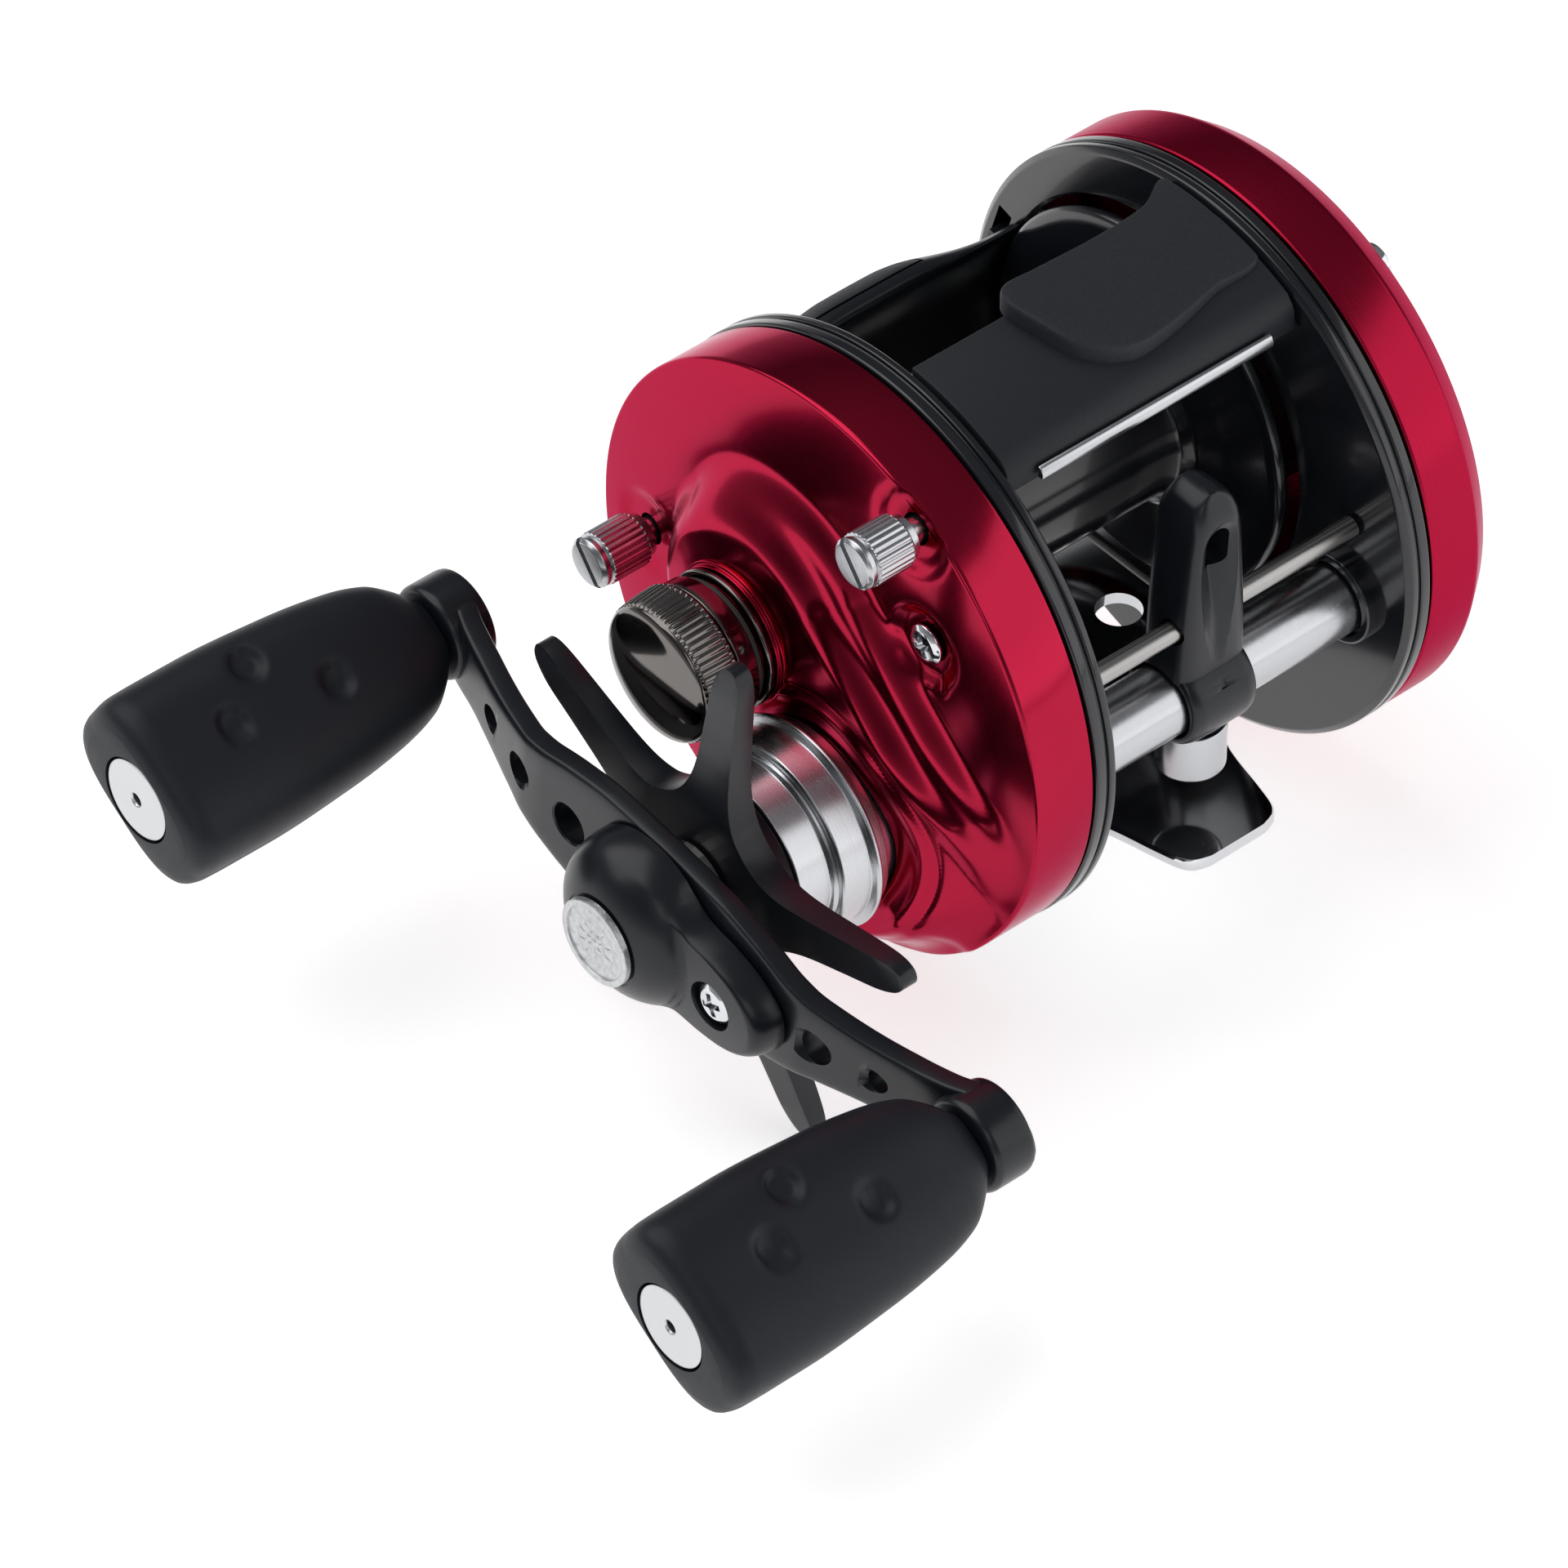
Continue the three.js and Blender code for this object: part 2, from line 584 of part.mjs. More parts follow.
// Sections of the bar as [y, z]: the plain end and the hump in its middle.
const BAR_END = [
  [-21.5, 10.7], [-22.4, 10.7], [-24.2, 8.3], [-26.5, 5.2], [-26.8, 3.0], [-26.3, -0.6],
  [-24.8, -1.9], [-23.4, -1.6], [-23.15, 2.4], [-22.7, 6.4],
];
const BAR_HUMP = [
  [-21.5, 10.8], [-22.9, 11.9], [-25.4, 10.6], [-27.4, 8.1], [-27.8, 6.0], [-27.0, 0.8],
  [-24.9, -1.9], [-23.4, -1.6], [-23.15, 2.4], [-22.7, 6.4],
];
const BAR_PAD_HALF = 6.4;
const BAR_STATIONS = [
  [-BAR_HALF, 0], [-13.2, 0], [-10.1, 0.3], [-7.6, 0.68], [-4.6, 0.92], [0, 1], [4.6, 0.92], [7.6, 0.68],
  [10.1, 0.3], [13.2, 0], [BAR_HALF, 0],
];

function barSection(x, rise) {
  return BAR_END.map(([y, z], i) => new THREE.Vector3(
    x,
    THREE.MathUtils.lerp(y, BAR_HUMP[i][0], rise),
    THREE.MathUtils.lerp(z, BAR_HUMP[i][1], rise),
  ));
}

function barBlank() {
  return lofted(BAR_STATIONS.map(([x, rise]) => barSection(x, rise)));
}

// The zone of the bar that its soft pad fills: a shallow skin on the outer face.
function padZone(shrink) {
  const half = BAR_PAD_HALF - shrink;
  const outline = [
    [-22.2 - shrink, 12.6], [-30, 12.6], [-30, 5.0 + shrink], [-26.6 - shrink, 5.0 + shrink],
    [-24.9 - shrink, 8.2 + 0.3 * shrink],
  ];
  return alongX(outline, -half, half);
}

function thumbBar() {
  const tongue = (side) => alongX([
    [-24.0, 8.2], [-25.05, 8.55], [-25.6, 6.75], [-24.6, 6.45],
  ], side > 0 ? 15.8 : -18.6, side > 0 ? 18.6 : -15.8);
  return join(barBlank(), tongue(1), tongue(-1)).subtract(padZone(0));
}

const thumbBarPad = () => barBlank().intersect(padZone(0.3));

// ---- line guide ---------------------------------------------------------------------------

function lineGuide() {
  // alongY takes [z, x] points.
  const edge = [[-3.5, 3.9], [5, 3.75], [12, 3.3], [16, 2.85], [17.6, 2.3], [18.6, 1.5], [19, 0.7]];
  const front = [...edge, ...mirrored(edge)];
  const eye = [...arc([14.1, 0], 1.3, -90, 90, 6), ...arc([11.9, 0], 1.3, 90, 270, 6)];
  const recessEdge = [[1.2, 0.3], [8.5, 2.2], [13.5, 2.1], [15.6, 1.6], [16.6, 0.6]];
  const recess = [...recessEdge, ...mirrored(recessEdge)];
  const moved = (outline) => outline.map(([z, x]) => [z, x + GUIDE_X]);
  const block = alongY(moved(front), 17.1, 22.9);
  const sleeve = rod(GUIDE_X - 3.5, GUIDE_X + 3.5, 4.5, WORM, 24);
  const housing = alongZ(circle([PAWL_X, PAWL_Y], 2.9), -8.0, -4);
  return cut(
    join(block, sleeve, housing),
    rod(-6, 8, 3.65, WORM, 24),
    rod(-6, 8, 1.3, ROD),
    alongY(moved(eye), 16, 24),
    alongY(moved(recess), 22.3, 24),
    alongZ(circle([PAWL_X, PAWL_Y], 1.3, 16), -9, -4),
  );
}

function pawlCap() {
  const shell = alongZ(circle([PAWL_X, PAWL_Y], 3.1), -13.3, -8.3);
  return cut(shell, alongZ(circle([PAWL_X, PAWL_Y], 1.4, 16), -12.4, -8));
}

// ---- spool --------------------------------------------------------------------------------

function spool() {
  const half = [[14.4, 1.6], [14.4, 7], [16.0, 16.4], [16.0, 18.1], [15.0, 18.1], [13.0, 8]];
  const other = half.map(([x, r]) => [-x, r]).reverse();
  return turned([...half, ...other], SPOOL, 36);
}

function brakeHub() {
  const core = rod(-22.2, -19.6, 4.2, SPOOL);
  const pins = alongX([
    [SPOOL[0] - 0.6, SPOOL[1] - 10], [SPOOL[0] + 0.6, SPOOL[1] - 10],
    [SPOOL[0] + 0.6, SPOOL[1] + 10], [SPOOL[0] - 0.6, SPOOL[1] + 10],
  ], -21.5, -20.3);
  return cut(join(core, pins), rod(-23, -19, 1.6, SPOOL));
}

function brakeShoe(end) {
  const [y, z] = SPOOL;
  const block = alongX([
    [y - 1.6, z + end * 7.2], [y + 1.6, z + end * 7.2], [y + 1.4, z + end * 10.6], [y - 1.4, z + end * 10.6],
  ], -22.4, -19.4);
  const bore = alongX([
    [y - 0.9, z + end * 6], [y + 0.9, z + end * 6], [y + 0.9, z + end * 10.3], [y - 0.9, z + end * 10.3],
  ], -21.8, -20.0);
  return cut(block, bore);
}

// ---- everything, in the order it comes apart ----------------------------------------------

add("frame_ring_handle", handleRing(), "blackGloss");
add("frame_ring_palm", palmRing(), "blackGloss");
add("thumb_rest", thumbRest(), "blackMatte");
add("thumb_rest_trim", alongX([
  [13.35, 22.2], [13.95, 22.2], [13.95, 23.0], [13.35, 23.3],
], -13, 13), "chrome");
add("reel_foot", reelFoot(), "chrome");
add("rear_pillar", rod(-BAR_HALF, BAR_HALF, 2.5, PILLAR), "blackGloss");
add("worm_tube", wormTube(), "chrome");
add("guide_rod", rod(-BAR_HALF, BAR_HALF, 0.95, ROD, 16), "steel");
add("handle_side_cup", handleCup(), "red");
add("palm_side_cup", palmCup(), "red");
add("bridge_plate", bridgePlate(), "steel");
add("cup_screw", screw(CUP_SCREW, 26.7, 26.0, 21.3, 1.9, 1.0), "chrome");
for (const [name, axis] of palmScrewAxes()) {
  add(`palm_screw_${name}`, screw(axis, -28.0, -26.8, -17.5, 2.0, 1.1), "chrome");
}
add("drive_sleeve", turned([
  [28.9, 8.6], [30.5, 8.6], [30.5, 9.3], [31.7, 9.3], [31.7, 10.1], [32.3, 10.1], [32.3, 9.3],
  [35.3, 9.3], [35.9, 8.0], [39.1, 8.0], [39.1, 5.2], [38.3, 5.2], [38.3, 7.6], [28.9, 7.6],
], DRIVE, 28), "chrome");
add("one_way_bearing", collar(31, 38, 7.2, 5.1, DRIVE, 24), "steel");
add("handle_spool_bearing", collar(33.2, 35.8, 4.0, 1.6, SPOOL, 24), "steel");
add("palm_spool_bearing", collar(-25.3, -23, 4.0, 1.6, SPOOL, 24), "steel");
add("brake_ring", collar(-25.7, -19.5, 12.4, 11.4, SPOOL, 32), "steel");
add("cap_seal_ring", collar(31.7, 32.3, 6.45, 5.5, SPOOL, 24), "aluminium");
add("cap_click_ring", collar(32.6, 33.1, 6.0, 5.5, SPOOL, 24), "fibre");

add("cast_control_cap", cut(turned([
  [33.4, 0], [33.4, 6.5], [35.3, 6.5], [35.5, 6.8], [39.2, 6.4], [39.9, 5.0], [40.3, 3.0], [40.4, 0],
], SPOOL), rod(33, 37.4, 5.5, SPOOL, 32)), "darkChrome");
add("rear_thumbscrew", thumbscrew(REAR_SCREW, 26.9, 33.0, 20.4), "chrome");
add("top_thumbscrew", thumbscrew(TOP_SCREW, 26.5, 32.3, 17.5), "chrome");

add("drive_shaft", rod(19.3, 51.2, 2.65, DRIVE), "steel");
add("level_wind_drive_gear", cut(
  gear(LEVEL_TEETH[0], LEVEL_MODULE, DRIVE, toothPhase(DRIVE, WORM), 19.4, 20.6),
  rod(19, 21, 2.95, DRIVE),
), "fibre");
add("main_gear", cut(
  gear(SPEED_TEETH[0], SPEED_MODULE, DRIVE, toothPhase(DRIVE, SPOOL), 22.6, 24.6),
  rod(22, 25, 2.95, DRIVE),
), "brass");
add("drag_washer", collar(24.9, 25.6, 10.2, 3.6, DRIVE), "fibre");
add("pressure_plate", collar(25.9, 27.1, 10.0, 2.95, DRIVE), "steel");
add("clutch_tube", collar(27.5, 39.1, 4.6, 2.95, DRIVE, 20), "steel");
add("handle_spacer", collar(43.9, 45.7, 4.2, 2.95, DRIVE, 24), "steel");
add("star_drag", starDrag(), "blackSatin");
add("handle_plate", handlePlate(), "blackSatin");
add("handle_nut", hexNut(), "steel");
add("nut_cover", nutCover(), "blackSatin");
add("cover_medallion", rod(54.5, 55.1, 4.15, DRIVE, 32), "aluminium");
add("cover_screw", screw(onHandle(11), 51.6, 50.9, 46.5, 1.95, 0.85), "chrome");
for (const [side, s] of [["left", -KNOB_S], ["right", KNOB_S]]) {
  add(`${side}_knob_post`, rod(40.6, 74.8, 1.9, onHandle(s)), "steel");
  add(`${side}_knob`, knob(s), "rubber");
  add(`${side}_knob_cap`, collar(75.5, 76.1, 3.86, 0.6, onHandle(s), 20), "aluminium");
}

add("spool", spool(), "blackGloss");
add("spool_shaft", rod(-25.6, 37.0, 1.3, SPOOL, 20), "steel");
add("brake_hub", brakeHub(), "fibre");
add("brake_shoe_a", brakeShoe(1), "aluminium");
add("brake_shoe_b", brakeShoe(-1), "aluminium");
add("pinion_gear", pinionGear(), "brass");
add("pinion_yoke", pinionYoke(), "aluminium");

add("worm_shaft", turned([
  [-18.7, 0], [-18.7, 1.5], [-15.9, 1.5], [-15.9, 2.1], [15.9, 2.1], [15.9, 1.5], [21.7, 1.5], [21.7, 0],
], WORM, 16), "steel");
add("worm_gear", cut(
  gear(LEVEL_TEETH[1], LEVEL_MODULE, WORM, gapPhase(WORM, DRIVE, LEVEL_TEETH[1]), 19.4, 20.6),
  rod(19, 21, 1.8, WORM),
), "fibre");
add("line_guide", lineGuide(), "blackSatin");
add("guide_pawl", alongZ(circle([PAWL_X, PAWL_Y], 0.95, 16), -12.0, -5.9), "brass");
add("pawl_cap", pawlCap(), "chrome");
add("thumb_bar", thumbBar(), "blackSatin");
add("thumb_bar_pad", thumbBarPad(), "rubber");

export default reel;
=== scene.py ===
"""Round baitcasting reel: fine surfaces, materials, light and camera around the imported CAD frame.

Shapes are given in millimetres about the axis of the round side plates (x along the spool towards
the handle, y towards the line guide, z up) and are moved into the row frame, in metres, when each
mesh is made.
"""
import json
import math

import bmesh
import bpy
import numpy as np
from mathutils import Matrix, Vector


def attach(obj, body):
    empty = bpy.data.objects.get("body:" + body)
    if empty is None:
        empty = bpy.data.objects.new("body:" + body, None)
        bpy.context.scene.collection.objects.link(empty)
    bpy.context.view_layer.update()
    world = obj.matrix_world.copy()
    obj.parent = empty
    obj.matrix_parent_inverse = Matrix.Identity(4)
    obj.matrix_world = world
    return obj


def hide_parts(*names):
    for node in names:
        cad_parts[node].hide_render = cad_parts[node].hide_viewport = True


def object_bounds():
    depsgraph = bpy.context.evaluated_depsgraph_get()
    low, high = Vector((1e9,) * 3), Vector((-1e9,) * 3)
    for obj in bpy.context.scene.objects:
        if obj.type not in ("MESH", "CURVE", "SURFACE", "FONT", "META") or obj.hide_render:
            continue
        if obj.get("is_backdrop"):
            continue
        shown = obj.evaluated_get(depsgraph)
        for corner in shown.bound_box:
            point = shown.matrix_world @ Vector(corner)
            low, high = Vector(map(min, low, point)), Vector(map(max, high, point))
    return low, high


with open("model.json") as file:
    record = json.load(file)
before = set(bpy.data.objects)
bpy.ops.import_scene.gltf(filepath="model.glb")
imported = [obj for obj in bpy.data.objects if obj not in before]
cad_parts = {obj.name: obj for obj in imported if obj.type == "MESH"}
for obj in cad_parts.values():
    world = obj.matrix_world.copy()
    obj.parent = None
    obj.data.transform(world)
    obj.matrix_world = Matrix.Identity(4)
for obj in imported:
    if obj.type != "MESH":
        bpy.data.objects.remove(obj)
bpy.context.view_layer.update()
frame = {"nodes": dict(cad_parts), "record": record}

# Offset from the plate axis to the row frame, in millimetres.
SHIFT = np.array([0.0, 4.6, 19.7])

# Axes parallel to x, as (y, z).
PLATE = (0.0, 0.0)
SPOOL = (-4.6, 3.0)
DRIVE = (5.8, -10.6)
WORM = (20.0, -3.5)
ROD = (21.0, 5.0)
PILLAR = (-21.5, -12.0)
REAR_SCREW = (-21.3, 0.4)
TOP_SCREW = (12.1, 22.7)
CUP_SCREW = (14.4, 11.9)
PALM_SCREWS = [(24 * math.cos(math.radians(a)), 24 * math.sin(math.radians(a))) for a in (63, 183, 303)]

HANDLE_ANGLE = math.radians(-7.34)
KNOB_S = 35.0
KNOB_END = 76.1
KNOB_LONG = np.array([0.0, 0.832, -0.555])
KNOB_FLAT = np.array([0.0, 0.555, 0.832])

# Steps around a turned piece, and the angle in degrees above which an edge stays sharp.
ROUND = 144
CREASE = 34

# Metres in a millimetre.
MM = 0.001

# The floor: half its side, how far it lies under the object, and how much light it gives of its own.
FLOOR_HALF = 1.0
FLOOR_DROP = 0.0005
FLOOR_GLOW = 0.6

# The camera: its lens and sensor in millimetres, and its place in millimetres from the plate axis.
CAMERA_LENS = 243.75
CAMERA_SENSOR = 36
CAMERA_PLACE = (457.02, 499.24, 604.88)
CAMERA_RIGHT = (-0.7595, 0.6508, 0)
CAMERA_BACK = (0.4745, 0.5537, 0.6845)


# ---- mesh building ------------------------------------------------------------------------

def finish_mesh(piece, crease=CREASE):
    """Merges doubles, turns faces outwards and shades smooth but for edges over the crease angle."""
    cleaned = bmesh.new()
    cleaned.from_mesh(piece.data)
    bmesh.ops.remove_doubles(cleaned, verts=cleaned.verts, dist=2e-7)
    bmesh.ops.dissolve_degenerate(cleaned, edges=cleaned.edges, dist=2e-7)
    bmesh.ops.recalc_face_normals(cleaned, faces=cleaned.faces)
    cleaned.to_mesh(piece.data)
    cleaned.free()
    piece.data.shade_smooth()
    piece.data.set_sharp_from_angle(angle=math.radians(crease))
    return piece


def mesh_object(name, points, faces, crease=CREASE):
    mesh = bpy.data.meshes.new(name)
    mesh.from_pydata(((np.asarray(points, float) + SHIFT) * MM).tolist(), [], faces)
    piece = bpy.data.objects.new(name, mesh)
    bpy.context.collection.objects.link(piece)
    return finish_mesh(piece, crease)


def bake(piece, crease=CREASE):
    """Applies a piece's modifiers."""
    graph = bpy.context.evaluated_depsgraph_get()
    mesh = bpy.data.meshes.new_from_object(piece.evaluated_get(graph))
    piece.modifiers.clear()
    piece.data = mesh
    return finish_mesh(piece, crease)


def ringed(name, rings, tips=(None, None), loop=False, crease=CREASE):
    """A skin over rings of points. Its ends close on a tip point, or on the ring's own middle."""
    rings = [np.asarray(r, float) for r in rings]
    count = len(rings[0])
    points = np.concatenate(rings)
    step = np.arange(count)
    after = (step + 1) % count
    faces = []
    for k in range(len(rings) if loop else len(rings) - 1):
        a, b = k * count, ((k + 1) % len(rings)) * count
        faces += np.stack([a + step, a + after, b + after, b + step], 1).tolist()
    if not loop:
        for ring, start, tip in ((rings[0], 0, tips[0]), (rings[-1], (len(rings) - 1) * count, tips[1])):
            centre = len(points)
            points = np.vstack([points, ring.mean(0) if tip is None else tip])
            faces += [[int(start + i), int(start + j), centre] for i, j in zip(step, after)]
    return mesh_object(name, points, faces, crease)


def filleted(points, radius, closed=False, steps=5):
    """A profile with each corner rounded."""
    points = [np.asarray(p, float) for p in points]
    count = len(points)
    out = []
    for i, p in enumerate(points):
        if not closed and i in (0, count - 1):
            out.append(p)
            continue
        a, b = points[i - 1], points[(i + 1) % count]
        la, lb = np.linalg.norm(a - p), np.linalg.norm(b - p)
        d = min(radius, 0.45 * la, 0.45 * lb)
        p0, p1 = p + (a - p) / la * d, p + (b - p) / lb * d
        for t in np.linspace(0, 1, steps):
            out.append((1 - t) ** 2 * p0 + 2 * t * (1 - t) * p + t * t * p1)
    return out


def turned(name, profile, axis=PLATE, radius=0.15, steps=ROUND, ripple=None, crease=CREASE):
    """A profile of (x, radius) turned about an axis parallel to x. ripple(x, r, angles) reshapes it."""
    closed = profile[0][1] > 0 and profile[-1][1] > 0
    points = filleted(profile, radius, closed) if radius else [np.asarray(p, float) for p in profile]
    angles = np.linspace(0, 2 * math.pi, steps, endpoint=False)
    tips = [None, None]
    if not closed:
        if points[0][1] == 0:
            tips[0] = (points[0][0], axis[0], axis[1])
            points = points[1:]
        if points[-1][1] == 0:
            tips[1] = (points[-1][0], axis[0], axis[1])
            points = points[:-1]
    rings = []
    for x, r in points:
        radii = ripple(x, r, angles) if ripple else np.full(steps, r)
        rings.append(np.stack([
            np.full(steps, x), axis[0] + radii * np.cos(angles), axis[1] + radii * np.sin(angles),
        ], 1))
    return ringed(name, rings, tips, closed, crease)


def hole(axis, start, end, radius, flare=0.0, steps=64):
    """A cutter for a round hole between two faces, with a chamfer of flare at each."""
    low, high = min(start, end), max(start, end)
    mouth = radius + flare + (0.5 if flare else 0)
    profile = [
        (low - 0.5, 0), (low - 0.5, mouth), (low + flare, radius), (high - flare, radius),
        (high + 0.5, mouth), (high + 0.5, 0),
    ]
    return turned("cutter", profile, axis, 0, steps)


def extruded(name, outline, start, end, along="x"):
    """An outline extruded along x (points y, z), along y (points x, z) or along z (points x, y)."""
    rings = []
    for depth in (start, end):
        flat = np.full(len(outline), float(depth))
        a, b = np.asarray(outline, float).T
        order = {"x": (flat, a, b), "y": (a, flat, b), "z": (a, b, flat)}[along]
        rings.append(np.stack(order, 1))
    count = len(outline)
    faces = [[i, (i + 1) % count, count + (i + 1) % count, count + i] for i in range(count)]
    faces += [list(range(count)), list(range(2 * count - 1, count - 1, -1))]
    return mesh_object(name, np.concatenate(rings), faces)


def boolean(piece, operation, *others):
    for other in others:
        modifier = piece.modifiers.new("boolean", "BOOLEAN")
        modifier.operation = operation
        modifier.solver = "EXACT"
        modifier.object = other
    bake(piece)
    for other in others:
        bpy.data.objects.remove(other)
    return piece


def carve(piece, *cutters):
    return boolean(piece, "DIFFERENCE", *cutters)


def weld(piece, *others):
    return boolean(piece, "UNION", *others)


def bevelled(piece, width, segments=3, angle=38):
    modifier = piece.modifiers.new("bevel", "BEVEL")
    modifier.width = width * MM
    modifier.segments = segments
    modifier.limit_method = "ANGLE"
    modifier.angle_limit = math.radians(angle)
    modifier.use_clamp_overlap = True
    return bake(piece)


def smooth_through(table, value):
    """Monotone cubic interpolation of a table of (x, y) points."""
    xs, ys = np.asarray(table, float).T
    step, rise = np.diff(xs), np.diff(ys) / np.diff(xs)
    slope = np.zeros(len(xs))
    inner = rise[:-1] * rise[1:] > 0
    slope[1:-1][inner] = 2 * (rise[:-1] * rise[1:])[inner] / (rise[:-1] + rise[1:])[inner]
    slope[0], slope[-1] = rise[0], rise[-1]
    k = np.clip(np.searchsorted(xs, value) - 1, 0, len(xs) - 2)
    t = (value - xs[k]) / step[k]
    return (
        (2 * t**3 - 3 * t**2 + 1) * ys[k] + (t**3 - 2 * t**2 + t) * step[k] * slope[k]
        + (-2 * t**3 + 3 * t**2) * ys[k + 1] + (t**3 - t**2) * step[k] * slope[k + 1]
    )


def rounded_loop(points, count):
    """A closed smooth curve through points, resampled evenly."""
    points = np.asarray(points, float)
    dense = []
    for i in range(len(points)):
        p0, p1, p2, p3 = (points[(i + k - 1) % len(points)] for k in range(4))
        for t in np.linspace(0, 1, 24, endpoint=False):
            dense.append(0.5 * (
                2 * p1 + (p2 - p0) * t + (2 * p0 - 5 * p1 + 4 * p2 - p3) * t * t
                + (3 * p1 - p0 - 3 * p2 + p3) * t**3
            ))
    dense = np.array(dense + [dense[0]])
    length = np.concatenate([[0], np.cumsum(np.linalg.norm(np.diff(dense, axis=0), axis=1))])
    at = np.linspace(0, length[-1], count, endpoint=False)
    return np.stack([np.interp(at, length, dense[:, k]) for k in range(dense.shape[1])], 1)


def circle(centre, radius, steps=72):
    angles = np.linspace(0, 2 * math.pi, steps, endpoint=False)
    return [(centre[0] + radius * math.cos(a), centre[1] + radius * math.sin(a)) for a in angles]


def squarish(steps, power):
    """A circle's two coordinates drawn towards a square's, as the power falls from one."""
    angles = np.linspace(0, 2 * math.pi, steps, endpoint=False)
    return [np.sign(c) * np.abs(c) ** power for c in (np.cos(angles), np.sin(angles))]


def arc(centre, radius, start, end, steps):
    angles = np.radians(np.linspace(start, end, steps))
    return [(centre[0] + radius * math.cos(a), centre[1] + radius * math.sin(a)) for a in angles]


def on_handle(s):
    """The (y, z) of a point s along the handle from the drive axis."""
    return (DRIVE[0] + s * math.cos(HANDLE_ANGLE), DRIVE[1] + s * math.sin(HANDLE_ANGLE))


# ---- materials ----------------------------------------------------------------------------

class Look:
    """A node material that is built up step by step over object coordinates in metres."""

    def __init__(self, name, colour, roughness, metallic=0.0, coat=0.0, coat_roughness=0.08, ior=1.5):
        self.material = bpy.data.materials.new(name)
        self.material.use_nodes = True
        self.nodes = self.material.node_tree.nodes
        self.links = self.material.node_tree.links
        self.shader = self.nodes["Principled BSDF"]
        self.shader.inputs["Base Color"].default_value = (*colour, 1)
        self.shader.inputs["Roughness"].default_value = roughness
        self.shader.inputs["Metallic"].default_value = metallic
        self.shader.inputs["Coat Weight"].default_value = coat
        self.shader.inputs["Coat Roughness"].default_value = coat_roughness
        self.shader.inputs["IOR"].default_value = ior
        self.colour, self.roughness = colour, roughness
        self.coordinates = self.nodes.new("ShaderNodeTexCoord").outputs["Object"]
        self.normal = None

    def noise(self, size_mm, detail=3.0, stretch=(1, 1, 1)):
        scale = self.nodes.new("ShaderNodeMapping")
        scale.inputs["Scale"].default_value = [1000.0 / size_mm * s for s in stretch]
        texture = self.nodes.new("ShaderNodeTexNoise")
        texture.inputs["Scale"].default_value = 1.0
        texture.inputs["Detail"].default_value = detail
        self.links.new(self.coordinates, scale.inputs["Vector"])
        self.links.new(scale.outputs["Vector"], texture.inputs["Vector"])
        return texture.outputs["Fac"]

    def cells(self, size_mm):
        scale = self.nodes.new("ShaderNodeMapping")
        scale.inputs["Scale"].default_value = [1000.0 / size_mm] * 3
        texture = self.nodes.new("ShaderNodeTexVoronoi")
        texture.inputs["Scale"].default_value = 1.0
        self.links.new(self.coordinates, scale.inputs["Vector"])
        self.links.new(scale.outputs["Vector"], texture.inputs["Vector"])
        return texture.outputs["Distance"]

    def turning(self, axis, pitch_mm):
        """Fine rings about an axis parallel to x, as a lathe leaves them."""
        split = self.nodes.new("ShaderNodeSeparateXYZ")
        self.links.new(self.coordinates, split.inputs[0])
        squares = []
        for socket, centre in (("Y", (axis[0] + SHIFT[1]) * MM), ("Z", (axis[1] + SHIFT[2]) * MM)):
            offset = self.math("SUBTRACT", split.outputs[socket], centre)
            squares.append(self.math("MULTIPLY", offset, offset))
        radius = self.math("SQRT", self.math("ADD", *squares))
        join = self.nodes.new("ShaderNodeCombineXYZ")
        self.links.new(self.math("MULTIPLY", radius, 1000.0 / pitch_mm), join.inputs[0])
        self.links.new(self.math("MULTIPLY", split.outputs["X"], 1000.0 / pitch_mm), join.inputs[1])
        texture = self.nodes.new("ShaderNodeTexNoise")
        texture.inputs["Scale"].default_value = 1.0
        texture.inputs["Detail"].default_value = 2.0
        self.links.new(join.outputs[0], texture.inputs["Vector"])
        return texture.outputs["Fac"]

    def math(self, operation, a, b=0.0):
        node = self.nodes.new("ShaderNodeMath")
        node.operation = operation
        for socket, value in zip(node.inputs, (a, b)):
            if isinstance(value, (int, float)):
                socket.default_value = value
            else:
                self.links.new(value, socket)
        return node.outputs[0]

    def ramp(self, value, low, high):
        node = self.nodes.new("ShaderNodeMapRange")
        self.links.new(value, node.inputs["Value"])
        node.inputs["To Min"].default_value = low
        node.inputs["To Max"].default_value = high
        return node.outputs[0]

    def vary_roughness(self, value, spread):
        self.links.new(
            self.ramp(value, self.roughness - spread, self.roughness + spread),
            self.shader.inputs["Roughness"],
        )
        return self

    def vary_colour(self, value, other):
        mix = self.nodes.new("ShaderNodeMix")
        mix.data_type = "RGBA"
        mix.inputs["A"].default_value = (*self.colour, 1)
        mix.inputs["B"].default_value = (*other, 1)
        self.links.new(value, mix.inputs["Factor"])
        self.links.new(mix.outputs["Result"], self.shader.inputs["Base Color"])
        return self

    def bump(self, value, depth_mm):
        node = self.nodes.new("ShaderNodeBump")
        node.inputs["Strength"].default_value = 1.0
        node.inputs["Distance"].default_value = depth_mm * MM
        self.links.new(value, node.inputs["Height"])
        if self.normal is not None:
            self.links.new(self.normal, node.inputs["Normal"])
        self.normal = node.outputs["Normal"]
        self.links.new(self.normal, self.shader.inputs["Normal"])
        return self


# What the red anodising mirrors at a grazing angle.
RED_EDGE = (0.85, 0.5, 0.6, 1)


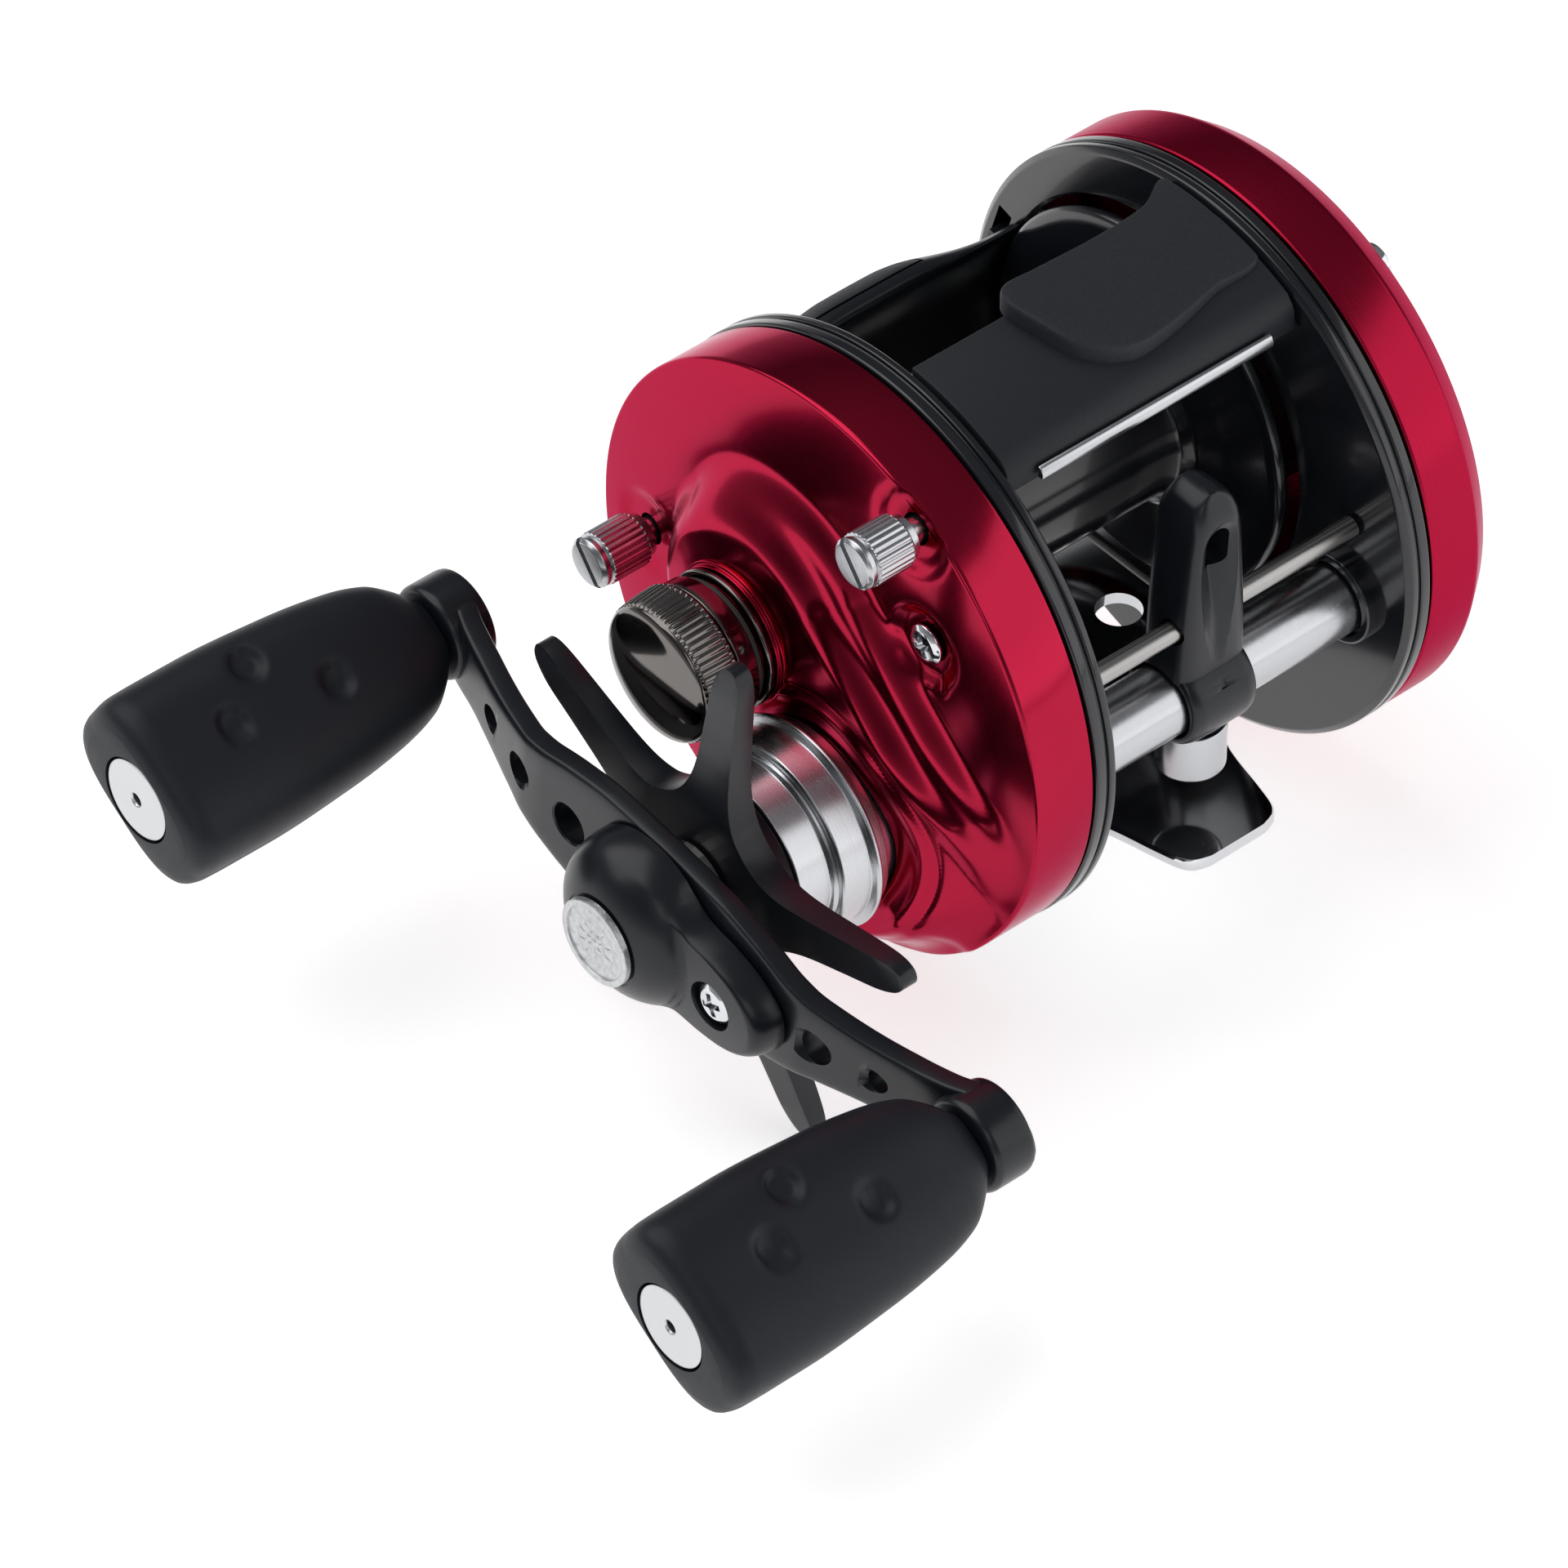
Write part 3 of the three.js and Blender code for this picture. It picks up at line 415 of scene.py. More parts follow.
def red_look():
    look = Look("red_anodised", (0.37, 0.007, 0.034), 0.19, 1.0, coat=0.12, coat_roughness=0.1)
    look.shader.inputs["Specular Tint"].default_value = RED_EDGE
    look.vary_roughness(look.noise(0.6), 0.03)
    look.vary_colour(look.noise(14, 2), (0.40, 0.009, 0.040))
    return look.bump(look.noise(0.12, 2), 0.0006)


def red_band_look():
    look = Look("red_anodised_turned", (0.37, 0.008, 0.036), 0.28, 1.0, coat=0.04, coat_roughness=0.2)
    look.shader.inputs["Specular Tint"].default_value = RED_EDGE
    look.vary_roughness(look.turning(PLATE, 0.15), 0.05)
    return look.bump(look.turning(PLATE, 0.12), 0.0008)


def gloss_black_look():
    look = Look("black_gloss", (0.007, 0.008, 0.011), 0.18, coat=0.3, coat_roughness=0.06)
    look.vary_roughness(look.noise(5), 0.04)
    return look.bump(look.noise(6, 1), 0.001)


def satin_black_look():
    look = Look("black_satin", (0.006, 0.007, 0.010), 0.30, ior=1.42)
    look.vary_roughness(look.noise(2.5), 0.05)
    look.vary_colour(look.noise(9), (0.010, 0.012, 0.017))
    return look.bump(look.noise(0.35, 3), 0.003)


def matte_black_look():
    look = Look("black_matte", (0.010, 0.012, 0.017), 0.55, ior=1.38)
    look.vary_roughness(look.noise(0.3), 0.06)
    look.vary_colour(look.noise(0.22, 2), (0.018, 0.020, 0.024))
    return look.bump(look.noise(0.16, 3), 0.010)


def pad_look():
    look = Look("pad_texture", (0.013, 0.015, 0.019), 0.60, ior=1.38)
    look.vary_colour(look.noise(0.25, 2), (0.028, 0.031, 0.037))
    look.vary_roughness(look.noise(0.4), 0.08)
    look.bump(look.cells(0.30), 0.012)
    return look.bump(look.noise(0.14, 3), 0.014)


def rubber_look():
    look = Look("soft_rubber", (0.008, 0.010, 0.014), 0.48, ior=1.36)
    look.vary_roughness(look.noise(1.2), 0.05)
    look.vary_colour(look.noise(6), (0.012, 0.014, 0.020))
    return look.bump(look.noise(0.18, 3), 0.005)


def chrome_look():
    look = Look("chrome", (0.66, 0.67, 0.69), 0.08, 1.0)
    look.vary_roughness(look.noise(3), 0.025)
    return look.bump(look.noise(1.1, 2), 0.001)


def machined_look():
    look = Look("machined_chrome", (0.60, 0.61, 0.63), 0.27, 1.0)
    look.vary_roughness(look.turning(DRIVE, 0.09), 0.06)
    return look.bump(look.turning(DRIVE, 0.07), 0.0012)


def satin_chrome_look():
    look = Look("satin_chrome", (0.52, 0.53, 0.55), 0.25, 1.0)
    look.vary_roughness(look.noise(0.5), 0.06)
    return look.bump(look.noise(0.4, 2), 0.001)


def smoked_look():
    look = Look("smoked_chrome", (0.16, 0.148, 0.14), 0.09, 1.0)
    look.vary_roughness(look.noise(2.2), 0.03)
    return look.bump(look.noise(5, 1), 0.0008)


def steel_look():
    look = Look("ground_steel", (0.38, 0.37, 0.36), 0.30, 1.0)
    look.vary_roughness(look.noise(0.4, stretch=(0.04, 1, 1)), 0.06)
    return look.bump(look.noise(0.2, 2, stretch=(0.05, 1, 1)), 0.0012)


def aluminium_look():
    look = Look("satin_aluminium", (0.60, 0.61, 0.62), 0.34, 1.0)
    look.vary_roughness(look.noise(0.5), 0.06)
    return look.bump(look.noise(0.25, 3), 0.0015)


def medallion_look():
    look = Look("struck_aluminium", (0.72, 0.73, 0.74), 0.42, 1.0)
    look.vary_roughness(look.noise(0.5), 0.1)
    look.vary_colour(look.noise(0.45, 3), (0.42, 0.43, 0.44))
    look.bump(look.cells(0.9), 0.05)
    return look.bump(look.noise(0.35, 3), 0.05)


def brass_look():
    look = Look("cut_brass", (0.62, 0.42, 0.16), 0.26, 1.0)
    look.vary_roughness(look.noise(0.6), 0.06)
    return look.bump(look.noise(0.3, 2), 0.0015)


def fibre_look():
    look = Look("dark_moulding", (0.030, 0.028, 0.026), 0.6)
    look.vary_roughness(look.noise(0.8), 0.08)
    return look.bump(look.noise(0.3, 3), 0.006)


LOOKS = {
    "red": red_look(), "red_band": red_band_look(), "black_gloss": gloss_black_look(),
    "black_satin": satin_black_look(), "black_matte": matte_black_look(), "pad": pad_look(),
    "rubber": rubber_look(), "chrome": chrome_look(), "machined": machined_look(),
    "satin_chrome": satin_chrome_look(), "dark_chrome": smoked_look(), "steel": steel_look(),
    "aluminium": aluminium_look(), "medallion": medallion_look(), "brass": brass_look(),
    "fibre": fibre_look(),
}


def place(piece, body, look, slot, *nodes):
    piece.data.materials.clear()
    piece.data.materials.append(LOOKS[look].material)
    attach(piece, body)
    if nodes:
        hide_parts(*nodes)
    return piece


# ---- side covers --------------------------------------------------------------------------

def case_height(y, z):
    """How far out the handle-side cover's face stands: a dome with the gear case raised on it."""
    r = np.hypot(y, z)
    base = 26.75 - 1.25 * (r / 27.8) ** 4
    start, end = np.array(SPOOL), np.array(DRIVE)
    span = end - start
    across = np.array([-span[1], span[0]]) / np.linalg.norm(span)
    out = np.clip(((y - start[0]) * across[0] + (z - start[1]) * across[1] - 4) / 9, 0, 1)
    last = 1 + 0.55 * out * out * (3 - 2 * out)
    along = ((y - start[0]) * span[0] + (z - start[1]) * span[1]) / (span @ span)
    t = np.clip(along, 0, last)
    dy, dz = y - (start[0] + t * span[0]), z - (start[1] + t * span[1])
    gap = np.hypot(dy, dz)
    side = (dy * across[0] + dz * across[1]) / np.maximum(gap, 1e-6)
    reach = 8.9 + 3.7 * np.minimum(t, 1.2)
    width = (5.2 + 3.6 * np.clip(side, -0.2, 1)) * (1 - 0.12 * t)
    fall = np.clip((gap - reach) / width, 0, 1)
    rise = 0.5 + 0.5 * np.cos(math.pi * fall)
    terrace = np.clip(side, 0, 1) ** 3 * np.sin(2 * math.pi * 1.9 * fall) * np.sin(math.pi * fall)
    top = 30.2 + 0.7 * np.exp(-((np.hypot(y - start[0], z - start[1]) / 8.2) ** 6))
    rim = np.clip((27.4 - r) / 4.2, 0, 1)
    rim = rim * rim * (3 - 2 * rim)
    tail = 0.5 + 0.5 * np.cos(math.pi * np.clip((along - 0.7) / 0.9, 0, 1))
    case = rise * (0.3 + 0.7 * rim) * (1 - 0.8 * out * (1 - tail))
    height = base + (top - base) * case + 0.36 * terrace * rim * tail
    drive = np.hypot(y - end[0], z - end[1])
    height += 0.28 * np.exp(-(((drive - 11.6) / 0.55) ** 2))
    height -= 0.22 * np.exp(-(((drive - 12.7) / 0.35) ** 2))
    for axis, depth, size in ((TOP_SCREW, 0.55, 3.6), (REAR_SCREW, 0.45, 3.6), (CUP_SCREW, 0.8, 3.4)):
        near = np.hypot(y - axis[0], z - axis[1])
        height -= depth / (1 + np.exp((near - size) / 0.28))
    mark = np.hypot(y - 16.6, z - 8.9)
    return height - 0.25 * np.exp(-((mark / 0.7) ** 2))


def handle_cup():
    angles = np.linspace(0, 2 * math.pi, 300, endpoint=False)
    rings = []
    for r in np.concatenate([np.linspace(0.4, 27.4, 118), [27.65, 27.8]]):
        y, z = r * np.cos(angles), r * np.sin(angles)
        rings.append(np.stack([case_height(y, z), y, z], 1))
    edge = rings[-1][:, 0]
    for share, r in ((0.10, 27.92), (0.25, 27.98), (0.5, 28.0)):
        rings.append(np.stack([edge - share, r * np.cos(angles), r * np.sin(angles)], 1))
    for x, r in ((22.4, 28.0), (19.6, 28.0), (19.36, 27.95), (19.3, 27.8)):
        rings.append(np.stack([np.full(300, x), r * np.cos(angles), r * np.sin(angles)], 1))
    cup = ringed("handle_cup_fine", rings, ((float(case_height(0.0, 0.0)), 0, 0), (19.3, 0, 0)))
    carve(
        cup,
        hole(PLATE, 18.8, 24.6, 27.1, steps=96),
        hole(DRIVE, 24, 27.6, 11.4),
        hole(DRIVE, 27, 32, 8.95),
        hole(SPOOL, 24, 28.1, 9.9),
        hole(SPOOL, 27, 32, 4.3),
        hole(REAR_SCREW, 24, 28, 1.5),
        hole(TOP_SCREW, 24, 28, 1.5),
        hole(CUP_SCREW, 24, 28, 1.4),
    )
    place(cup, "frame", "red", "red", "handle_side_cup")
    seat = turned("cap_seat", [
        (30.2, 4.3), (30.2, 6.7), (31.0, 6.7), (31.0, 6.4), (31.4, 6.4), (31.4, 5.2), (36.6, 5.2),
        (36.6, 4.3),
    ], SPOOL, 0.12)
    place(seat, "frame", "red", "red")


def palm_cup():
    shell = turned("palm_cup_fine", [
        (-26.1, 0), (-25.8, 25.2), (-23.9, 27.1), (-19.3, 27.1), (-19.3, 28), (-24.5, 28), (-27.0, 26.1),
        (-27.35, 19), (-27.5, 8), (-27.5, 0),
    ], PLATE, 0.35, steps=240)
    seat = turned("bearing_seat", [(-26.3, 4.3), (-26.3, 5.6), (-22.6, 5.6), (-22.6, 4.3)], SPOOL, 0.15)
    carve(shell, *[hole(axis, -25, -29, 1.5) for axis in PALM_SCREWS],
          *[hole(axis, -26.5, -30, 2.3) for axis in PALM_SCREWS])
    place(shell, "frame", "red_band", "red", "palm_side_cup")
    place(seat, "frame", "red_band", "red")


# ---- frame --------------------------------------------------------------------------------

TONGUE_SLOT = [(-23.0, 10.7), (-24.6, 11.2), (-26.1, 6.2), (-26.9, 3.2), (-25.2, 2.8), (-24.4, 5.8)]


def frame_ring(side, name, node, extra):
    """One side ring, on the handle's side (1) or the palm's (-1), with screw holes at the extra axes."""
    def mirrored(profile):
        return [(side * x, r) for x, r in profile]

    ring = turned(name, mirrored([
        (16.5, 0), (16.5, 27.5), (16.9, 28.1), (17.5, 28.1), (17.62, 27.75), (17.85, 27.75),
        (17.97, 28.1), (18.85, 28.1), (19.0, 27.9), (19.0, 0),
    ]), PLATE, 0.14, steps=240)
    socket_profile = mirrored([(15.3, 0), (15.3, 4.4), (16.8, 4.4), (16.8, 0)])
    socket = turned("socket", socket_profile, WORM, 0.25, steps=72)
    weld(ring, socket)
    cuts = [
        hole(SPOOL, side * 16.5, side * 19.0, 18.5, 0.35, steps=144),
        hole(WORM, side * 14.8, side * 16.1, 3.65),
        hole(WORM, side * 15, side * 19.5, 1.9),
        extruded("cutter", TONGUE_SLOT, side * 16, side * 19.5),
    ]
    carve(ring, *cuts, *[hole(axis, side * 17.7, side * 19.5, 1.5) for axis in extra])
    place(ring, "frame", "black_gloss", "black_gloss", node)


PAD_OUTLINE = [
    (4.9, -0.35), (6.15, 1.5), (5.6, 4.5), (4.6, 7.4), (3.1, 9.1), (1.2, 10.2), (-0.9, 10.7), (-4, 10.45),
    (-7.3, 9.9), (-10.6, 9.2), (-16.1, 8.4), (-16.1, 2.5), (-16.1, -3.4), (-11.8, -1.4), (-5.6, -0.65),
    (0.95, -0.46),
]


def thumb_rest():
    section = [
        *arc(PLATE, 27.9, 87.8, 64.4, 14), (12.75, 24.35), (13.05, 23.75), (13.05, 21.75), (12.75, 21.5),
        (12.3, 21.9), *arc(PLATE, 25.4, 62.5, 87.6, 14),
    ]
    bar = bevelled(extruded("thumb_rest_fine", section, -16.2, 16.2), 0.25)
    place(bar, "frame", "black_matte", "black_matte", "thumb_rest")
    outline = rounded_loop(PAD_OUTLINE, 220)
    outline[:, 0] = np.maximum(outline[:, 0], -16.15)
    centre = np.array([-6.0, 4.2])
    rings = []
    for share, drop in ((1.0, 1.9), (1.0, 0.5), (0.996, 0.25), (0.989, 0.1), (0.978, 0.03), (0.96, 0.0),
                        *[(s, 0.0) for s in np.linspace(0.88, 0.06, 12)]):
        flat = centre + (outline - centre) * share
        radius = 28.3 + 0.0686 * (flat[:, 0] + 16) - drop
        rings.append(np.stack([flat[:, 0], flat[:, 1], np.sqrt(radius**2 - flat[:, 1] ** 2)], 1))
    pad = ringed("thumb_pad", rings)
    place(pad, "frame", "pad", "black_matte")
    strip = [(13.32, 22.15), (13.95, 22.2), (13.98, 22.75), (13.7, 23.25), (13.32, 23.35)]
    trim = bevelled(extruded("rest_trim", strip, -13, 13), 0.12)
    place(trim, "frame", "satin_chrome", "chrome", "thumb_rest_trim")


def reel_foot():
    half_width = [
        (0, 16.15), (13.0, 16.15), (13.9, 15.6), (14.8, 13.2), (16.5, 10.2), (19, 8.2), (22, 7.1),
        (26.6, 6.0), (28.6, 5.4), (29.6, 4.6), (30.05, 3.2),
    ]
    half_reaches = np.concatenate([np.linspace(0.25, 26.6, 60), np.linspace(27, 30.05, 14)])
    reaches = np.concatenate([-half_reaches[::-1], half_reaches])
    across = np.linspace(-1, 1, 31)
    rings = []
    for reach in reaches:
        half = float(smooth_through(half_width, abs(reach)))
        y = np.full(31, -4.6 + reach)
        upper = np.stack([across * (half - 0.25), y, np.full(31, -18.5)], 1)
        lower = np.stack([across * (half - 0.1), y, np.full(31, -19.7)], 1)
        left = [[-half, y[0], -18.85], [-half, y[0], -19.5]]
        right = [[half, y[0], -19.5], [half, y[0], -18.85]]
        rings.append(np.concatenate([upper[::-1], left, lower, right]))
    foot = ringed("reel_foot_fine", rings)
    holes = []
    for x in (-11.8, 11.8):
        holes.append(extruded("cutter", circle((x, -2.9), 2.15), -21, -17, "z"))
    carve(foot, *holes)
    place(foot, "frame", "chrome", "chrome", "reel_foot")


def level_wind():
    tube = turned("worm_tube_fine", [
        (-16.2, 2.6), (-16.2, 3.3), (16.2, 3.3), (16.2, 2.6),
    ], WORM, 0.1, steps=96)
    slot = extruded("cutter", [(-13.3, 18.1), (13.3, 18.1), (13.3, 20.7), (-13.3, 20.7)], -7.5, -4.2, "z")
    place(carve(tube, slot), "frame", "satin_chrome", "chrome", "worm_tube")
    rod = turned("guide_rod_fine", [(-16.2, 0), (-16.2, 0.95), (16.2, 0.95), (16.2, 0)], ROD, 0.1, steps=48)
    place(rod, "frame", "steel", "steel", "guide_rod")

    def grooves(x, r, angles):
        cut = np.zeros_like(angles)
        for hand in (-1, 1):
            phase = (angles + hand * 2 * math.pi * x / 8.0 + math.pi) % (2 * math.pi) - math.pi
            cut = np.maximum(cut, np.exp(-((phase / 0.42) ** 4)))
        return r - 0.5 * cut if r > 2.0 and abs(x) < 13.5 else np.full_like(angles, r)

    profile = [(-18.7, 0), (-18.7, 1.5), (-15.9, 1.5), (-15.85, 2.1)]
    profile += [(x, 2.1) for x in np.linspace(-15, 15, 150)]
    profile += [(15.85, 2.1), (15.9, 1.5), (21.7, 1.5), (21.7, 0)]
    worm = turned("worm_shaft_fine", profile, WORM, 0, steps=64, ripple=grooves)
    place(worm, "worm", "steel", "steel", "worm_shaft")


def rear_pillar():
    pillar = turned("rear_pillar_fine", [
        (-16.2, 0), (-16.2, 2.5), (-15.2, 2.5), (-14.9, 2.3), (14.9, 2.3), (15.2, 2.5), (16.2, 2.5),
        (16.2, 0),
    ], PILLAR, 0.15, steps=72)
    place(pillar, "frame", "black_gloss", "black_gloss", "rear_pillar")


# ---- screws -------------------------------------------------------------------------------

def cross_recess(axis, face, side, size):
    """Two crossed tapered blades, as a cross-head driver leaves."""
    blades = []
    for turn in (20, 110):
        c, s = math.cos(math.radians(turn)), math.sin(math.radians(turn))
        rings = []
        for depth, reach, half in ((-0.3, size, 0.32), (0.25, size * 0.92, 0.28), (1.2, size * 0.3, 0.16)):
            corners = [(-reach, -half), (reach, -half), (reach, half), (-reach, half)]
            x = face - side * depth
            rings.append([(x, axis[0] + a * c - b * s, axis[1] + a * s + b * c) for a, b in corners])
        blades.append(ringed("cutter", rings))
    return blades


def cross_screw(name, axis, face, base, tip, head, shank, body, node):
    side = math.copysign(1, face - tip)
    screw = turned(name, [
        (tip, 0), (tip, shank), (base, shank), (base, head), (face - side * 0.45, head),
        (face - side * 0.12, head * 0.72), (face, 0),
    ], axis, 0.12, steps=72)
    carve(screw, *cross_recess(axis, face, side, head * 0.62))
    place(screw, body, "chrome", "chrome", node)


def thumbscrew(name, axis, base, face, body, node):
    start, end = base + 1.0, face - 1.15

    def knurl(x, r, angles):
        if r > 2.42 and start - 0.05 <= x <= end + 0.05:
            return r - 0.13 * (0.5 - 0.5 * np.cos(26 * angles)) ** 1.5
        return np.full_like(angles, r)

    profile = [
        (base - 8.5, 0), (base - 8.5, 1.15), (base, 1.15), (base, 2.0), (base + 0.7, 2.05), (start, 2.5),
        (start + 0.3, 2.5), ((start + end) / 2, 2.5), (end - 0.3, 2.5), (end, 2.5), (end + 0.12, 2.2),
        (end + 0.3, 2.35), (face - 0.35, 2.4), (face, 2.05), (face, 0),
    ]
    screw = turned(name, profile, axis, 0.1, steps=26 * 12, ripple=knurl, crease=50)
    c, s = math.cos(math.radians(-52)), math.sin(math.radians(-52))
    corners = [(-4, -0.32), (4, -0.32), (4, 0.32), (-4, 0.32)]
    outline = [(axis[0] + a * c - b * s, axis[1] + a * s + b * c) for a, b in corners]
    carve(screw, extruded("cutter", outline, face - 0.6, face + 1))
    place(screw, body, "satin_chrome", "chrome", node)


def cast_cap():
    def knurl(x, r, angles):
        if 35.6 < x < 39.0 and r > 6.3:
            return r - 0.16 * (0.5 - 0.5 * np.cos(64 * angles)) ** 1.5
        return np.full_like(angles, r)

    profile = [
        (37.4, 0), (37.4, 5.5), (33.4, 5.5), (33.4, 6.45), (35.15, 6.5), (35.25, 6.25), (35.4, 6.25),
        (35.5, 6.8), (35.9, 6.8), (36.6, 6.76), (37.4, 6.7), (38.2, 6.62), (38.85, 6.55),
    ]
    for t in np.linspace(0, math.pi / 2, 28):
        profile.append((39.1 + 1.3 * math.sin(t), 6.35 * math.cos(t)))
    cap = turned("cast_cap_fine", profile, SPOOL, 0.1, steps=64 * 8, ripple=knurl, crease=50)
    place(cap, "cast_cap", "dark_chrome", "dark_chrome", "cast_control_cap")
    seal = turned("seal_ring", [(31.7, 5.5), (31.7, 6.45), (32.3, 6.45), (32.3, 5.5)], SPOOL, 0.25)
    place(seal, "frame", "dark_chrome", "aluminium", "cap_seal_ring")
    click = turned("click_ring", [(32.6, 5.5), (32.6, 6.0), (33.1, 6.0), (33.1, 5.5)], SPOOL, 0.15)
    place(click, "frame", "fibre", "fibre", "cap_click_ring")


def drive_sleeve():
    sleeve = turned("drive_sleeve_fine", [
        (28.9, 7.6), (28.9, 8.6), (30.5, 8.6), (30.5, 9.25), (31.5, 9.25), (31.7, 9.9), (31.85, 10.1),
        (32.15, 10.1), (32.3, 9.9), (32.45, 9.3), (35.3, 9.3), (35.45, 9.0), (35.45, 8.6), (35.75, 8.4),
        (35.85, 8.0), (39.0, 8.0), (39.1, 7.8), (39.1, 5.1), (38.3, 5.1), (38.3, 7.6),
    ], DRIVE, 0.12, steps=180)
    place(sleeve, "frame", "machined", "chrome", "drive_sleeve")


# ---- handle -------------------------------------------------------------------------------

# The handle's half width and the height of its front face, by distance from the drive axis.
HALF_WIDTH = [
    (0, 7.3), (7, 7.1), (12, 6.25), (16.5, 5.0), (20, 4.2), (25, 3.6), (28, 3.5), (31, 3.75), (33, 4.1),
    (35, 4.3), (37, 3.9), (38.4, 2.8), (39.0, 1.7), (39.2, 0.9),
]
FRONT_FACE = [
    (0, 48.4), (15, 48.4), (17.5, 48.2), (20, 47.55), (25, 46.0), (28, 45.0), (31, 44.1), (34, 43.1),
    (37, 42.7), (40.6, 42.6),
]
# The handle's round holes as (s, radius).
HANDLE_HOLES = [(-24.7, 1.1), (-18.8, 1.5), (-11.4, 2.0), (19.7, 1.65), (25.5, 1.1)]
HANDLE_THICKNESS = 2.4


def handle_plate():
    outer = np.linspace(39.2, 36, 24)
    reaches = np.concatenate([-outer, -np.linspace(35.8, 0.3, 110), np.linspace(0, 35.8, 110), outer[::-1]])
    deep, wide = squarish(56, 0.28)
    rings = []
    for s in reaches:
        half = float(smooth_through(HALF_WIDTH, abs(s)))
        middle = float(smooth_through(FRONT_FACE, abs(s))) - HANDLE_THICKNESS / 2
        y, z = on_handle(s)
        n = np.array([-math.sin(HANDLE_ANGLE), math.cos(HANDLE_ANGLE)])
        rings.append(np.stack([
            middle + deep * HANDLE_THICKNESS / 2, y + wide * half * n[0], z + wide * half * n[1],
        ], 1))
    plate = ringed("handle_fine", rings)
    bosses = [turned("boss", [
        (40.4, 0), (40.4, 4.4), (40.9, 4.5), (44.1, 4.5), (44.6, 4.2), (44.6, 0),
    ], on_handle(s), 0.45, steps=96) for s in (-KNOB_S, KNOB_S)]
    weld(plate, *bosses)
    cuts = []
    for s, radius in HANDLE_HOLES:
        front = float(smooth_through(FRONT_FACE, abs(s)))
        cuts.append(hole(on_handle(s), front - HANDLE_THICKNESS, front, radius, 0.14))
    cuts += [hole(on_handle(s), 40, 44.5, 2.2) for s in (-KNOB_S, KNOB_S)]
    cuts += [hole(DRIVE, 45, 49, 2.95), hole(on_handle(11), 45, 49, 1.2)]
    place(carve(plate, *cuts), "crank", "black_satin", "black_satin", "handle_plate")


def cover_outline():
    """The nut cover's outline as (s, n): a circle drawn out into a rounded lobe along the handle."""
    lobe = [(7.2, 5.2), (10.5, 4.9), (13.6, 4.2), (15.9, 2.9), (17.0, 1.2), (17.0, -1.2), (15.9, -2.9),
            (13.6, -4.2), (10.5, -4.9), (7.2, -5.2)]
    round_end = arc((0, 0), 8.0, -52, -308, 22)
    return rounded_loop([*lobe, *round_end], 220)


def nut_cover():
    outline = cover_outline()
    centre = np.array([3.0, 0.0])
    rings = []
    for share in np.concatenate([[1.0, 1.0], 1 - np.linspace(0.0, 1, 60)[1:-1] ** 1.6 * 0.98]):
        flat = centre + (outline - centre) * share
        s, n = flat[:, 0], flat[:, 1]
        r = np.hypot(s, n)
        dome = 48.7 + 6.4 * np.sqrt(np.clip(1 - (r / 8.02) ** 2, 0, 1)) ** 0.8
        lobe = 51.75 - 0.25 * (n / 4.5) ** 2 - 0.02 * np.clip(s - 6, 0, None)
        edge = np.clip((1 - share) / 0.10, 0, 1)
        lobe = 48.7 + (lobe - 48.7) * np.sqrt(1 - (1 - edge) ** 2)
        blend = 0.9
        height = np.maximum(dome, lobe) + blend * np.exp(-np.abs(dome - lobe) / blend) * 0.35 * min(1, edge)
        height = np.minimum(height, 55.1)
        y, z = on_handle(0)
        c, d = math.cos(HANDLE_ANGLE), math.sin(HANDLE_ANGLE)
        rings.append(np.stack([height, y + s * c - n * d, z + s * d + n * c], 1))
    rings[0][:, 0] = 48.7
    cover = ringed("nut_cover_fine", rings)
    carve(
        cover,
        hole(DRIVE, 48.2, 52.1, 5.5),
        hole(DRIVE, 54.7, 56, 4.4),
        hole(on_handle(11), 48.2, 51, 1.2),
        hole(on_handle(11), 51.1, 53, 2.35),
    )
    place(cover, "crank", "black_satin", "black_satin", "nut_cover")


def petals(r, angles, inner, outer, count):
    """Relief, 0 to 1, of one ring of raised petals."""
    reach = np.clip((r - inner) / (outer - inner), 0, 1)
    return np.sin(math.pi * reach) * np.sqrt(np.abs(np.cos(count * angles / 2)))


def medallion():
    angles = np.linspace(0, 2 * math.pi, 240, endpoint=False)
    rings = []
    for x, r in ((54.5, 4.15), (55.0, 4.15), (55.08, 4.07), (55.1, 3.95), (55.1, 3.65), (55.06, 3.56)):
        rings.append(np.stack([np.full(240, x), r * np.cos(angles), r * np.sin(angles)], 1))
    for r in np.linspace(3.5, 0.1, 70):
        relief = petals(r, angles, 2.3, 3.45, 14) + petals(r, angles, 1.15, 2.3, 10)
        relief += petals(r, angles, 0.45, 1.15, 6) + math.exp(-((r / 0.4) ** 4))
        rings.append(np.stack([54.92 + 0.16 * relief, r * np.cos(angles), r * np.sin(angles)], 1))
    for ring in rings:
        ring[:, 1:] += DRIVE
    piece = ringed("medallion", rings)
    place(piece, "crank", "medallion", "aluminium", "cover_medallion")


# ---- star ---------------------------------------------------------------------------------

# Half width of a star arm by distance from the axis.
ARM_HALF = [
    (7.4, 4.6), (8.3, 3.7), (9.6, 2.95), (11.4, 2.35), (14, 2.0), (18, 1.8), (22, 1.6), (23.8, 1.3),
    (24.7, 0.8), (25, 0.3),
]


